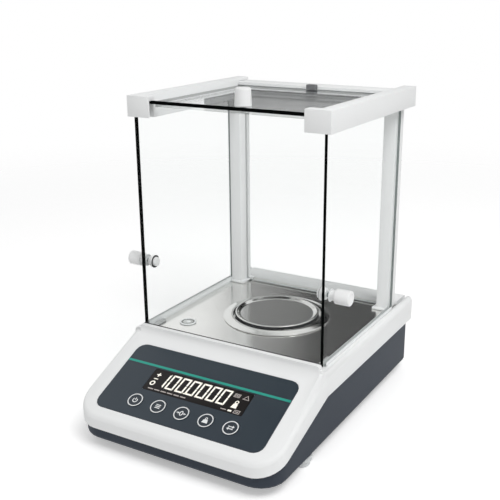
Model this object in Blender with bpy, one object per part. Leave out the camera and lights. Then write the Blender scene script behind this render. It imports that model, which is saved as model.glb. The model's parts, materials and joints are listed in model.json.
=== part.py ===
import math

import bmesh
import bpy
from mathutils import Matrix, Vector

# Analytical balance: a two-shell base with a sloped control panel, a steel chamber floor
# with a round pan, and a glass draft shield with two side doors and a top door.
# Metres, +Z up, +Y to the rear. The origin is the middle of the footprint, on the table.

# Fits
SEAT_GAP = 0.0003
SLIDE_GAP = 0.0003
ROUND_SEGMENTS = 20
SMALL_SEGMENTS = 12
DISC_SEGMENTS = 40

# Base shells
HOUSING_WIDTH = 0.201
HOUSING_DEPTH = 0.2985
HOUSING_WALL = 0.0055
REAR_WALL = 0.011
LEAST_CORNER = 0.001
FRONT_CORNER = 0.024
REAR_CORNER = 0.007
TOP_FILLET_SIDE = 0.003
TOP_FILLET_DROP = 0.004
DECK_HEIGHT = 0.0762
DECK_SLAB = 0.006
LIP_DEPTH = 0.005
LIP_OVERHANG = 0.0015
LIP_RISE = 0.004
LIP_CORNER = 0.003
STEP_DROP = 0.0035
SLOPE_ANGLE = math.radians(23.4)
SLOPE_WALL = 0.003
PARTING_HEIGHT = 0.0530
PARTING_BEND = 0.0945
PARTING_ANGLE = math.radians(18.9)
FOOT_CLEARANCE = 0.009
CASING_SIDE_INSET = 0.002
CASING_FRONT_INSET = 0.0025
CASING_REAR_INSET = 0.009
CASING_WALL = 0.003
CASING_FLOOR = 0.003
CASING_FRONT_CORNER = 0.023
CASING_REAR_CORNER = 0.008
CASING_EDGE = 0.003
REAR_CHAMFER = 0.006

# Draft shield
PANE_SETBACK = 0.0965
PANE_SIDE_INSET = 0.0085
PANE_THICKNESS = 0.005
PANE_RISE = 0.2071
RAIL_LENGTH = 0.1838
RAIL_LEAD = 0.0019
RAIL_SIDE_INSET = 0.0028
RAIL_WALL = 0.0122
RAIL_BLOCK_WIDTH = 0.023
RAIL_BLOCK_DEPTH = 0.0099
RAIL_HEIGHT = 0.0182
RAIL_RISE = 0.1931
RAIL_SHELF = 0.0081
DOOR_THICKNESS = 0.003
DOOR_SIDE_INSET = 0.0093
DOOR_LENGTH = 0.150
DOOR_TOP_ENTRY = 0.0058
DOOR_SLOT_DEPTH = 0.007
TOP_DOOR_LENGTH = 0.157
TOP_DOOR_THICKNESS = 0.003
POST_WIDTH = 0.012
POST_DEPTH = 0.0197
POST_SETBACK = 0.1523
POST_GROOVE_DEPTH = 0.0057
POST_GROOVE_OFFSET = 0.0114
POST_FLANGE_REACH = 0.004
POST_FLANGE_LEAD = 0.002
POST_FLANGE_HEIGHT = 0.002
REAR_PANE_THICKNESS = 0.003
CROSSBAR_DEPTH = 0.0219
TOP_BAR_DEPTH = 0.0199
TOP_BAR_HEIGHT = 0.0034
TOP_BAR_NOTCH = 0.002
STOP_BLOCK = (0.010, 0.0055, 0.005)
RAIL_PEG_RADIUS = 0.0025
RAIL_PEG_HEIGHT = 0.005
CLIP_LENGTH = 0.0185
CLIP_RADIUS = 0.0026
CLIP_INSET = 0.0028

# Door knobs
SIDE_KNOB_SETBACK = 0.0118
SIDE_KNOB_RISE = 0.0583
SIDE_KNOB_RADIUS = 0.0065
SIDE_KNOB_HEAD = 0.0132
SIDE_NECK_RADIUS = 0.0043
SIDE_NECK_LENGTH = 0.005
KNOB_ROUNDING = 0.0018
KNOB_STUD_RADIUS = 0.0018
KNOB_HOLE_CLEARANCE = 0.0004
KNOB_CAP_RADIUS = 0.0055
KNOB_CAP_HEIGHT = 0.0022
SIDE_CAP_RADIUS = 0.006
SIDE_CAP_FLARE = 0.0038
SIDE_CAP_RIM = 0.0014
SIDE_CAP_END_RADIUS = 0.0043
SIDE_CAP_END = 0.0026
TOP_KNOB_SETBACK = 0.031
TOP_KNOB_RADIUS = 0.0075
TOP_KNOB_TAPER = 0.0008
TOP_KNOB_HEIGHT = 0.0152

# Chamber floor
PLATE_THICKNESS = 0.0012
PLATE_DROP = 0.0022
PLATE_REAR = 0.176
PAN_SETBACK = 0.090
PAN_RADIUS = 0.0405
PAN_RISE = 0.0052
PAN_SKIRT = 0.0043
PAN_WALL = 0.0012
PAN_DISH = 0.0021
PAN_SLEEVE_RADIUS = 0.007
PAN_SLEEVE_LENGTH = 0.0138
STEM_RADIUS = 0.004
STEM_FLANGE_HEIGHT = 0.003
STEM_HOLE_RADIUS = 0.009
RING_OUTER = 0.0523
RING_INNER = 0.0425
RING_HEIGHT = 0.0025
LEVEL_SIDE_INSET = 0.0348
LEVEL_SETBACK = 0.0324
LEVEL_RADIUS = 0.006
LEVEL_DEPTH = 0.004
BEZEL_RADIUS = 0.008
BEZEL_HEIGHT = 0.0009

# Control panel, measured along the slope from the panel centre
PANEL_SETBACK = 0.0443
PANEL_SIDE_MARGIN = 0.0169
PANEL_LENGTH = 0.0767
PANEL_THICKNESS = 0.0009
PANEL_RECESS = 0.001
PANEL_CORNER = 0.009
WINDOW_WIDTH = 0.101
WINDOW_LENGTH = 0.0238
WINDOW_SHIFT = 0.0029
WINDOW_CORNER = 0.0012
WINDOW_LEDGE = 0.002
KEY_COUNT = 5
KEY_PITCH = 0.0241
KEY_SHIFT = -0.0224
KEY_RADIUS = 0.0069
KEY_HEIGHT = 0.002
KEY_PROUD = 0.0008
KEY_TRAVEL = 0.0005
KEY_CLEARANCE = 0.0004
KEY_STEM_RADIUS = 0.002
KEY_STEM_LENGTH = 0.006
BOARD_THICKNESS = 0.0016
BOARD_DEPTH = 0.010
BOARD_WIDTH = 0.138
BOARD_FRONT = -0.034
BOARD_REAR = 0.020
BOARD_BOSS_RADIUS = 0.003
BOARD_BOSS_MARGIN = 0.004
PEG_RADIUS = 0.0012
PEG_PROUD = 0.001
PEG_CLEARANCE = 0.0003
SWITCH_SIZE = 0.006
MODULE_MARGIN = 0.002
MODULE_GLASS_RISE = 0.0015

# Works inside the base
MAIN_BOARD_INSET = 0.0125
MAIN_BOARD_GAP = 0.006
MAIN_BOARD_FRONT = 0.016
MAIN_BOARD_REAR = 0.011
TALL_CHIP_RISE = 0.006
FLAT_CHIP_RISE = 0.003
SUPPLY_RISE = 0.008
STANDOFF_HEIGHT = 0.005
STANDOFF_RADIUS = 0.003
STANDOFF_MARGIN = 0.005
BRACKET_WIDTH = 0.072
BRACKET_THICKNESS = 0.005
CELL_WIDTH = 0.060
CELL_HEIGHT = 0.032
CELL_LENGTH = 0.07625
CELL_REACH = 0.014
CELL_BORE_RADIUS = 0.011
RIBBON_INSET = 0.010
RIBBON_WIDTH = 0.014
RIBBON_THICKNESS = 0.0008
INLET_X = -0.040
INLET_SIZE = 0.011
INLET_LENGTH = 0.014
INLET_BORE_RADIUS = 0.0032
INLET_PIN_RADIUS = 0.001
INLET_BORE_DEPTH = 0.009
PORT_X = 0.022
PORT_WIDTH = 0.031
PORT_HEIGHT = 0.0125
PORT_LENGTH = 0.011
PORT_SHELL_WIDTH = 0.017
PORT_SHELL_HEIGHT = 0.0085
PORT_SHELL_TAPER = 0.0015
PORT_SHELL_DEPTH = 0.006
PORT_RISE = 0.033
PORT_PROUD = 0.0008

# Feet and fasteners
FRONT_FOOT_INSET = 0.011
FRONT_FOOT_SETBACK = 0.0675
REAR_FOOT_INSET = 0.0185
REAR_FOOT_SETBACK = 0.040
PAD_RADIUS = 0.008
PAD_HEIGHT = 0.0046
WHEEL_RADIUS = 0.0095
WHEEL_TEETH = 18
WHEEL_TOOTH_DEPTH = 0.0008
STUD_RADIUS = 0.003
STUD_LENGTH = 0.020
NUT_RADIUS = 0.005
NUT_HEIGHT = 0.011
NUT_BOSS_RADIUS = 0.0075
REAR_FOOT_RADIUS = 0.009
REAR_FOOT_PEG = 0.0025
SCREW_RADIUS = 0.0015
SCREW_HEAD_RADIUS = 0.003
SCREW_HEAD_HEIGHT = 0.0016
SCREW_CLEARANCE = 0.0003
CASING_SCREW_INSET = 0.0205
CASING_SCREW_SETBACK = 0.01675
CASING_SCREW_LEAD = 0.01355
CASING_SCREW_LENGTH = 0.012
CASING_BOSS_RADIUS = 0.005
POST_SCREW_LENGTH = 0.018

# Places worked out from the sizes above
FRONT_Y = -HOUSING_DEPTH / 2
REAR_Y = HOUSING_DEPTH / 2
SIDE_X = HOUSING_WIDTH / 2
PANE_WIDTH = HOUSING_WIDTH - 2 * PANE_SIDE_INSET
PANEL_WIDTH = HOUSING_WIDTH - 2 * PANEL_SIDE_MARGIN
RAIL_OUTER = SIDE_X - RAIL_SIDE_INSET
DOOR_INNER_FACE = SIDE_X - DOOR_SIDE_INSET
LEVEL_X = LEVEL_SIDE_INSET - SIDE_X
FRONT_FOOT_X = SIDE_X - FRONT_FOOT_INSET
REAR_FOOT_X = SIDE_X - REAR_FOOT_INSET
CASING_SCREW_X = SIDE_X - CASING_SCREW_INSET
PANE_Y = FRONT_Y + PANE_SETBACK
PANE_BACK_Y = PANE_Y + PANE_THICKNESS
STEP_Y = PANE_Y - SEAT_GAP - LIP_DEPTH
LIP_TOP = DECK_HEIGHT + LIP_RISE
RAIL_BOTTOM = LIP_TOP + RAIL_RISE
PLATE_TOP = DECK_HEIGHT - PLATE_DROP
RECESS_FLOOR = PLATE_TOP - PLATE_THICKNESS - SEAT_GAP
CAVITY_TOP = RECESS_FLOOR - DECK_SLAB
DOOR_OUTER_FACE = DOOR_INNER_FACE + DOOR_THICKNESS
SLOT_INNER = DOOR_INNER_FACE - SLIDE_GAP
SLOT_OUTER = DOOR_OUTER_FACE + SLIDE_GAP
SLOT_FLOOR = DECK_HEIGHT - DOOR_SLOT_DEPTH
DOOR_FRONT_Y = PANE_BACK_Y + SEAT_GAP
DOOR_REAR_Y = DOOR_FRONT_Y + DOOR_LENGTH
PLATE_HALF = SLOT_INNER - SEAT_GAP
PLATE_FRONT_Y = PANE_BACK_Y + 2 * SEAT_GAP
PLATE_REAR_Y = PANE_Y + PLATE_REAR
PAN_Y = PANE_Y + PAN_SETBACK
RAIL_FRONT_Y = PANE_Y - RAIL_LEAD
RAIL_REAR_Y = RAIL_FRONT_Y + RAIL_LENGTH
RAIL_TOP = RAIL_BOTTOM + RAIL_HEIGHT
RAIL_INNER = RAIL_OUTER - RAIL_BLOCK_WIDTH
RAIL_WALL_INNER = RAIL_OUTER - RAIL_WALL
SHELF_TOP = RAIL_BOTTOM + RAIL_SHELF
POST_OUTER = SLOT_INNER - SEAT_GAP
POST_INNER = POST_OUTER - POST_WIDTH
POST_Y = PANE_Y + POST_SETBACK
POST_BOTTOM = PLATE_TOP + SEAT_GAP
POST_TOP = RAIL_BOTTOM - SEAT_GAP
TOP_DOOR_BOTTOM = SHELF_TOP + SLIDE_GAP
TOP_DOOR_TOP = TOP_DOOR_BOTTOM + TOP_DOOR_THICKNESS
TOP_BAR_LOW = TOP_DOOR_TOP + SLIDE_GAP
TOP_BAR_TOP = TOP_BAR_LOW + TOP_BAR_HEIGHT
TOP_DOOR_FRONT_Y = RAIL_FRONT_Y + RAIL_BLOCK_DEPTH + SEAT_GAP
CASING_FLOOR_TOP = FOOT_CLEARANCE + CASING_FLOOR
CASING_REAR_Y = REAR_Y - CASING_REAR_INSET
PORT_Z = FOOT_CLEARANCE + PORT_RISE
PANEL_Y = FRONT_Y + PANEL_SETBACK
BRACKET_TOP = CASING_FLOOR_TOP + SEAT_GAP + BRACKET_THICKNESS
CELL_TOP = BRACKET_TOP + SEAT_GAP + CELL_HEIGHT
CELL_REAR = PAN_Y + CELL_REACH
CELL_FRONT = CELL_REAR - CELL_LENGTH
CASING_SCREW_Y = (PANE_Y + CASING_SCREW_SETBACK, POST_Y - CASING_SCREW_LEAD)
MAIN_BOARD_X = (MAIN_BOARD_INSET - SIDE_X, -BRACKET_WIDTH / 2 - MAIN_BOARD_GAP)
RIBBON_RIGHT = MAIN_BOARD_X[1] - RIBBON_INSET
FRONT_FOOT_Y = FRONT_Y + FRONT_FOOT_SETBACK
REAR_FOOT_Y = REAR_Y - REAR_FOOT_SETBACK
MAIN_BOARD_FRONT_Y = CASING_SCREW_Y[0] + MAIN_BOARD_FRONT
MAIN_BOARD_REAR_Y = min(CASING_SCREW_Y[1], REAR_FOOT_Y) - MAIN_BOARD_REAR
MAIN_BOARD_Y = (MAIN_BOARD_FRONT_Y, MAIN_BOARD_REAR_Y)
SKIRT_LOW = FOOT_CLEARANCE


def slope_height(y):
    return DECK_HEIGHT - STEP_DROP + (y - STEP_Y) * math.tan(SLOPE_ANGLE)


def parting_height(y):
    bend_y = FRONT_Y + PARTING_BEND
    return PARTING_HEIGHT + min(0.0, y - bend_y) * math.tan(PARTING_ANGLE)


# Modelling helpers
def material(name, colour, roughness, metallic=0.0, alpha=1.0):
    finish = bpy.data.materials.new(name)
    finish.use_nodes = True
    shader = finish.node_tree.nodes["Principled BSDF"]
    shader.inputs["Base Color"].default_value = (*colour, 1.0)
    shader.inputs["Roughness"].default_value = roughness
    shader.inputs["Metallic"].default_value = metallic
    shader.inputs["Alpha"].default_value = alpha
    return finish


def add_object(name, mesh, finish=None):
    obj = bpy.data.objects.new(name, mesh)
    bpy.context.scene.collection.objects.link(obj)
    if finish:
        mesh.materials.append(finish)
    return obj


def solid(name, verts, faces, finish=None, smooth_angle=None):
    mesh = bpy.data.meshes.new(name)
    form = bmesh.new()
    points = [form.verts.new(v) for v in verts]
    for face in faces:
        form.faces.new([points[i] for i in face])
    bmesh.ops.recalc_face_normals(form, faces=form.faces)
    form.to_mesh(mesh)
    form.free()
    if smooth_angle:
        mesh.shade_smooth()
        mesh.set_sharp_from_angle(angle=smooth_angle)
    return add_object(name, mesh, finish)


def loft(name, loops, finish=None, smooth_angle=None):
    count = len(loops[0])
    verts = [point for loop in loops for point in loop]
    faces = [list(range(count)), list(range(len(verts) - count, len(verts)))]
    for level in range(len(loops) - 1):
        for i in range(count):
            a = level * count + i
            b = level * count + (i + 1) % count
            faces.append([a, b, b + count, a + count])
    return solid(name, verts, faces, finish, smooth_angle)


def prism(name, outline, axis, low, high, finish=None, smooth_angle=None):
    place = {
        "X": lambda p, h: (h, p[0], p[1]),
        "Y": lambda p, h: (p[0], h, p[1]),
        "Z": lambda p, h: (p[0], p[1], h),
    }[axis]
    loops = [[place(p, h) for p in outline] for h in (low, high)]
    return loft(name, loops, finish, smooth_angle)


def box(name, low, high, finish=None):
    outline = [(low[0], low[1]), (high[0], low[1]), (high[0], high[1]), (low[0], high[1])]
    return prism(name, outline, "Z", low[2], high[2], finish)


def turned(name, profile, finish=None, segments=ROUND_SEGMENTS, smooth_angle=math.radians(35)):
    # profile: (radius, height) points; a closed ring unless its ends lie on the axis
    verts = []
    rows = []
    for radius, height in profile:
        if radius == 0.0:
            rows.append([len(verts)] * segments)
            verts.append((0.0, 0.0, height))
            continue
        rows.append(list(range(len(verts), len(verts) + segments)))
        for i in range(segments):
            angle = 2 * math.pi * i / segments
            verts.append((radius * math.cos(angle), radius * math.sin(angle), height))
    on_axis = profile[0][0] == 0.0 and profile[-1][0] == 0.0
    pairs = list(zip(rows, rows[1:])) if on_axis else list(zip(rows, rows[1:] + rows[:1]))
    faces = []
    for lower, upper in pairs:
        for i in range(segments):
            j = (i + 1) % segments
            ring = [lower[i], lower[j], upper[j], upper[i]]
            faces.append(list(dict.fromkeys(ring)))
    return solid(name, verts, faces, finish, smooth_angle)


def rod(name, radius, low, high, finish=None, segments=SMALL_SEGMENTS):
    return turned(name, [(0.0, low), (radius, low), (radius, high), (0.0, high)], finish, segments)


def arc(centre, radius, start, end, steps):
    return [
        (
            centre[0] + radius * math.cos(math.radians(start + (end - start) * i / steps)),
            centre[1] + radius * math.sin(math.radians(start + (end - start) * i / steps)),
        )
        for i in range(steps + 1)
    ]


def rounded_outline(left, right, front, rear, front_radius, rear_radius, steps=6):
    return (
        arc((left + front_radius, front + front_radius), front_radius, 180, 270, steps)
        + arc((right - front_radius, front + front_radius), front_radius, 270, 360, steps)
        + arc((right - rear_radius, rear - rear_radius), rear_radius, 0, 90, steps)
        + arc((left + rear_radius, rear - rear_radius), rear_radius, 90, 180, steps)
    )


def rounded_rectangle(width, length, radius, centre=(0.0, 0.0), steps=4):
    half_w, half_l = width / 2, length / 2
    x, y = centre
    return rounded_outline(x - half_w, x + half_w, y - half_l, y + half_l, radius, radius, steps)


def shift(obj, offset):
    obj.data.transform(Matrix.Translation(Vector(offset)))
    return obj


def turn(obj, angle, axis):
    obj.data.transform(Matrix.Rotation(angle, 4, axis))
    return obj


def combine(obj, tool, operation):
    modifier = obj.modifiers.new(operation.title(), "BOOLEAN")
    modifier.operation = operation
    modifier.solver = "EXACT"
    modifier.object = tool
    tool.display_type = "WIRE"
    tool.hide_render = True
    bpy.context.view_layer.update()
    evaluated = obj.evaluated_get(bpy.context.evaluated_depsgraph_get())
    mesh = bpy.data.meshes.new_from_object(evaluated)
    obj.modifiers.clear()
    obj.data = mesh
    bpy.data.objects.remove(tool, do_unlink=True)
    return obj


def cut(obj, *tools):
    for tool in tools:
        combine(obj, tool, "DIFFERENCE")
    return obj


def fuse(obj, *tools):
    for tool in tools:
        combine(obj, tool, "UNION")
    return obj


def carrier(name, location, rotation=(0.0, 0.0, 0.0)):
    empty = bpy.data.objects.new(name, None)
    bpy.context.scene.collection.objects.link(empty)
    empty.location = location
    empty.rotation_euler = rotation
    bpy.context.view_layer.update()
    return empty


def carry(empty, *pieces):
    for piece in pieces:
        piece.parent = empty
    bpy.context.view_layer.update()


def screw(name, length, finish=None):
    # head bottom at z = 0, shank up to z = length
    head = SCREW_HEAD_HEIGHT
    return turned(
        name,
        [
            (0.0, -head),
            (SCREW_HEAD_RADIUS * 0.8, -head),
            (SCREW_HEAD_RADIUS, -head * 0.6),
            (SCREW_HEAD_RADIUS, 0.0),
            (SCREW_RADIUS, 0.0),
            (SCREW_RADIUS, length),
            (0.0, length),
        ],
        finish,
        SMALL_SEGMENTS,
    )


def screw_hole(name, depth, below=0.0):
    return rod(name, SCREW_RADIUS + SCREW_CLEARANCE, -below, depth + SCREW_CLEARANCE)


# Finishes
WHITE_SHELL = material("white_shell", (0.84, 0.84, 0.83), 0.42)
SLATE_SHELL = material("slate_shell", (0.075, 0.083, 0.105), 0.5)
PANEL_FILM = material("panel_film", (0.055, 0.068, 0.085), 0.35)
DISPLAY_DARK = material("display_dark", (0.012, 0.010, 0.009), 0.12)
KEY_FILM = material("key_film", (0.06, 0.073, 0.09), 0.4)
CLEAR_GLASS = material("clear_glass", (0.92, 0.95, 0.95), 0.03, 0.0, 0.25)
BRUSHED_STEEL = material("brushed_steel", (0.62, 0.62, 0.61), 0.3, 1.0)
BRIGHT_STEEL = material("bright_steel", (0.7, 0.7, 0.7), 0.18, 1.0)
KNOB_WHITE = material("knob_white", (0.88, 0.88, 0.87), 0.3)
DARK_RUBBER = material("dark_rubber", (0.09, 0.09, 0.095), 0.7)
BOARD_GREEN = material("board_green", (0.03, 0.16, 0.07), 0.5)
CAST_ALUMINIUM = material("cast_aluminium", (0.56, 0.57, 0.58), 0.45, 1.0)
BRASS = material("brass", (0.75, 0.56, 0.25), 0.3, 1.0)
BLACK_PLASTIC = material("black_plastic", (0.02, 0.02, 0.022), 0.45)
FOOT_WHITE = material("foot_white", (0.75, 0.76, 0.76), 0.4)


# Base shells
def deck_loop(inset, height, front_y, rear_inset=None):
    half = HOUSING_WIDTH / 2 - inset
    rear = REAR_Y - (inset if rear_inset is None else rear_inset)
    radius = max(REAR_CORNER - inset, LEAST_CORNER)
    corners = arc((half - radius, rear - radius), radius, 0, 90, 4)
    corners += arc((radius - half, rear - radius), radius, 90, 180, 4)
    return [(x, y, height) for x, y in [(half, front_y)] + corners + [(-half, front_y)]]


def slope_loop(inset, drop, back_y, height=None):
    half = HOUSING_WIDTH / 2 - inset
    front = FRONT_Y + inset
    radius = FRONT_CORNER - inset
    corners = arc((radius - half, front + radius), radius, 180, 270, 8)
    corners += arc((half - radius, front + radius), radius, 270, 360, 8)
    outline = [(-half, back_y)] + corners + [(half, back_y)]
    return [(x, y, slope_height(y) - drop if height is None else height) for x, y in outline]


def fillet_steps(steps=3):
    for i in range(steps + 1):
        angle = math.pi / 2 * i / steps
        yield TOP_FILLET_SIDE * (1 - math.cos(angle)), TOP_FILLET_DROP * (1 - math.sin(angle))


def parting_tool(above, clearance=0.0):
    reach = HOUSING_DEPTH
    far = reach if above else -reach
    bend_y = FRONT_Y + PARTING_BEND
    offset = -clearance if above else clearance
    outline = [
        (FRONT_Y - reach / 10, far),
        (FRONT_Y - reach / 10, parting_height(FRONT_Y - reach / 10) + offset),
        (bend_y, PARTING_HEIGHT + offset),
        (REAR_Y + reach / 10, PARTING_HEIGHT + offset),
        (REAR_Y + reach / 10, far),
    ]
    return prism("parting_tool", outline, "X", -HOUSING_WIDTH, HOUSING_WIDTH)


def housing_blank():
    root = LIP_DEPTH / 5
    deck_front = STEP_Y + root
    deck_loops = [deck_loop(0.0, SKIRT_LOW, deck_front)]
    slope_back = deck_front + root
    slope_loops = [slope_loop(0.0, 0.0, slope_back, SKIRT_LOW)]
    for inset, drop in fillet_steps():
        deck_loops.append(deck_loop(inset, DECK_HEIGHT - drop, deck_front))
        slope_loops.append(slope_loop(inset, drop, slope_back))
    shell = loft("upper_housing", deck_loops, WHITE_SHELL)
    lip_half = PANE_WIDTH / 2 + LIP_OVERHANG
    lip_low = slope_height(STEP_Y) - SLOPE_WALL
    lip = [(lip_half, lip_low)]
    lip += arc((lip_half - LIP_CORNER, LIP_TOP - LIP_CORNER), LIP_CORNER, 0, 90, 4)
    lip += arc((LIP_CORNER - lip_half, LIP_TOP - LIP_CORNER), LIP_CORNER, 90, 180, 4)
    lip += [(-lip_half, lip_low)]
    fuse(shell, loft("slope_blank", slope_loops))
    return fuse(shell, prism("lip_blank", lip, "Y", STEP_Y, PANE_Y - SEAT_GAP))


def hollow_housing(shell):
    root = LIP_DEPTH / 5
    below = FOOT_CLEARANCE / 2
    deck_front = STEP_Y + root / 2
    deck_cavity = [
        deck_loop(HOUSING_WALL, z, deck_front, REAR_WALL) for z in (below, CAVITY_TOP)
    ]
    slope_back = STEP_Y + root
    slope_drop = SLOPE_WALL / math.cos(SLOPE_ANGLE)
    slope_cavity = [
        slope_loop(HOUSING_WALL, 0.0, slope_back, below),
        slope_loop(HOUSING_WALL, slope_drop, slope_back),
    ]
    cut(shell, loft("deck_cavity", deck_cavity), loft("slope_cavity", slope_cavity))
    return cut(shell, parting_tool(above=False))


def cut_chamber_seats(shell):
    above = LIP_TOP + RAIL_HEIGHT
    pane_half = PANE_WIDTH / 2 + SEAT_GAP
    pane_slot = box(
        "pane_slot",
        (-pane_half, PANE_Y - SEAT_GAP, SLOT_FLOOR),
        (pane_half, PANE_BACK_Y + SEAT_GAP, above),
    )
    recess = box(
        "plate_recess",
        (-SLOT_INNER, PANE_BACK_Y, RECESS_FLOOR),
        (SLOT_INNER, PLATE_REAR_Y + SEAT_GAP, above),
    )
    cut(shell, pane_slot, recess)
    for side in (-1, 1):
        inner, outer = sorted((side * (SLOT_INNER - SEAT_GAP), side * SLOT_OUTER))
        low = (inner, PANE_BACK_Y, SLOT_FLOOR)
        high = (outer, REAR_Y + HOUSING_WALL, above)
        cut(shell, box("door_slot", low, high))
    stem_hole = shift(rod("stem_hole", STEM_HOLE_RADIUS, SKIRT_LOW, above), (0.0, PAN_Y, 0.0))
    level_low = PLATE_TOP - LEVEL_DEPTH - SEAT_GAP
    pocket = rod("level_pocket", LEVEL_RADIUS + SEAT_GAP, level_low, above)
    return cut(shell, stem_hole, shift(pocket, (LEVEL_X, PANE_Y + LEVEL_SETBACK, 0.0)))


def casing_screw_places():
    return [(side * CASING_SCREW_X, y) for y in CASING_SCREW_Y for side in (-1, 1)]


def post_centre(side):
    return side * (POST_INNER + POST_WIDTH / 2), POST_Y + POST_GROOVE_OFFSET / 2


def add_housing_bosses(shell):
    low = CASING_FLOOR_TOP + SEAT_GAP
    for x, y in casing_screw_places():
        boss = rod("screw_boss", CASING_BOSS_RADIUS, low, CAVITY_TOP + DECK_SLAB / 2)
        fuse(shell, shift(boss, (x, y, 0.0)))
        hole = screw_hole("boss_bore", CASING_SCREW_LENGTH, below=CASING_FLOOR)
        cut(shell, shift(hole, (x, y, low - SEAT_GAP)))
    for side in (-1, 1):
        hole = screw_hole("post_screw_hole", POST_SCREW_LENGTH, below=DECK_SLAB)
        cut(shell, shift(hole, (*post_centre(side), CAVITY_TOP)))
    return shell


def board_boss_places():
    x = BOARD_WIDTH / 2 - BOARD_BOSS_MARGIN
    rows = (BOARD_FRONT + BOARD_BOSS_MARGIN, BOARD_REAR - BOARD_BOSS_MARGIN)
    return [(side * x, u) for u in rows for side in (-1, 1)]


def key_places():
    middle = (KEY_COUNT - 1) / 2
    return [((i - middle) * KEY_PITCH, KEY_SHIFT) for i in range(KEY_COUNT)]


def panel_outline(grow=0.0):
    size = (PANEL_WIDTH + 2 * grow, PANEL_LENGTH + 2 * grow)
    return rounded_rectangle(*size, PANEL_CORNER + grow)


def window_outline(grow=0.0):
    size = (WINDOW_WIDTH + 2 * grow, WINDOW_LENGTH + 2 * grow)
    return rounded_rectangle(*size, max(WINDOW_CORNER + grow, SEAT_GAP), (0.0, WINDOW_SHIFT))


def cut_panel_seats(shell, slope):
    def cut_here(tool):
        carry(slope, tool)
        cut(shell, tool)

    proud = PANEL_THICKNESS * 4
    through = -SLOPE_WALL - PANEL_THICKNESS
    peg_low = -BOARD_DEPTH - BOARD_THICKNESS - PEG_PROUD
    for x, u in board_boss_places():
        boss = rod("board_boss", BOARD_BOSS_RADIUS, SEAT_GAP - BOARD_DEPTH, -SLOPE_WALL * 0.8)
        shift(boss, (x, u, 0.0))
        carry(slope, boss)
        fuse(shell, boss)
        peg = rod("board_peg", PEG_RADIUS, peg_low, -BOARD_DEPTH / 2)
        shift(peg, (x, u, 0.0))
        carry(slope, peg)
        fuse(shell, peg)
    cut_here(prism("panel_seat", panel_outline(SEAT_GAP), "Z", -PANEL_RECESS, proud))
    cut_here(prism("window_opening", window_outline(-WINDOW_LEDGE), "Z", through, proud))
    for x, u in key_places():
        floor = KEY_PROUD - KEY_HEIGHT - KEY_TRAVEL - SEAT_GAP
        well = rod("key_well", KEY_RADIUS + KEY_CLEARANCE, floor, proud, segments=ROUND_SEGMENTS)
        hole = rod("key_hole", KEY_STEM_RADIUS + KEY_CLEARANCE, through, proud)
        cut_here(shift(well, (x, u, 0.0)))
        cut_here(shift(hole, (x, u, 0.0)))
    return shell


def make_upper_housing(slope):
    shell = hollow_housing(housing_blank())
    cut_chamber_seats(shell)
    add_housing_bosses(shell)
    return cut_panel_seats(shell, slope)


def casing_loop(inset, height):
    side = HOUSING_WIDTH / 2 - CASING_SIDE_INSET - inset
    outline = rounded_outline(
        -side,
        side,
        FRONT_Y + CASING_FRONT_INSET + inset,
        CASING_REAR_Y - inset,
        CASING_FRONT_CORNER - inset,
        max(CASING_REAR_CORNER - inset, LEAST_CORNER),
    )
    return [(x, y, height) for x, y in outline]


def standoff_places():
    margin = STANDOFF_MARGIN
    xs = (MAIN_BOARD_X[0] + margin, MAIN_BOARD_X[1] - margin)
    ys = (MAIN_BOARD_Y[0] + margin, MAIN_BOARD_Y[1] - margin)
    return [(x, y) for y in ys for x in xs]


def make_lower_casing():
    top = PARTING_HEIGHT + CASING_WALL
    loops = [casing_loop(CASING_EDGE, FOOT_CLEARANCE)]
    loops.append(casing_loop(CASING_EDGE * 0.3, FOOT_CLEARANCE + CASING_EDGE * 0.3))
    loops.append(casing_loop(0.0, FOOT_CLEARANCE + CASING_EDGE))
    loops.append(casing_loop(0.0, top))
    tray = loft("lower_casing", loops, SLATE_SHELL)
    reach = REAR_CHAMFER + CASING_WALL
    chamfer = [
        (CASING_REAR_Y - REAR_CHAMFER - CASING_WALL, FOOT_CLEARANCE - CASING_WALL),
        (CASING_REAR_Y + CASING_WALL, FOOT_CLEARANCE - CASING_WALL),
        (CASING_REAR_Y + CASING_WALL, FOOT_CLEARANCE + reach),
    ]
    cut(tray, prism("rear_chamfer", chamfer, "X", -HOUSING_WIDTH, HOUSING_WIDTH))
    lift = REAR_CHAMFER
    cavity = [
        casing_loop(CASING_WALL + lift, CASING_FLOOR_TOP),
        casing_loop(CASING_WALL, CASING_FLOOR_TOP + lift),
        casing_loop(CASING_WALL, top + CASING_WALL),
    ]
    cut(tray, loft("tray_cavity", cavity))
    cut(tray, parting_tool(above=True, clearance=SEAT_GAP))
    add_casing_seats(tray)
    return cut_casing_openings(tray)


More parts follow.
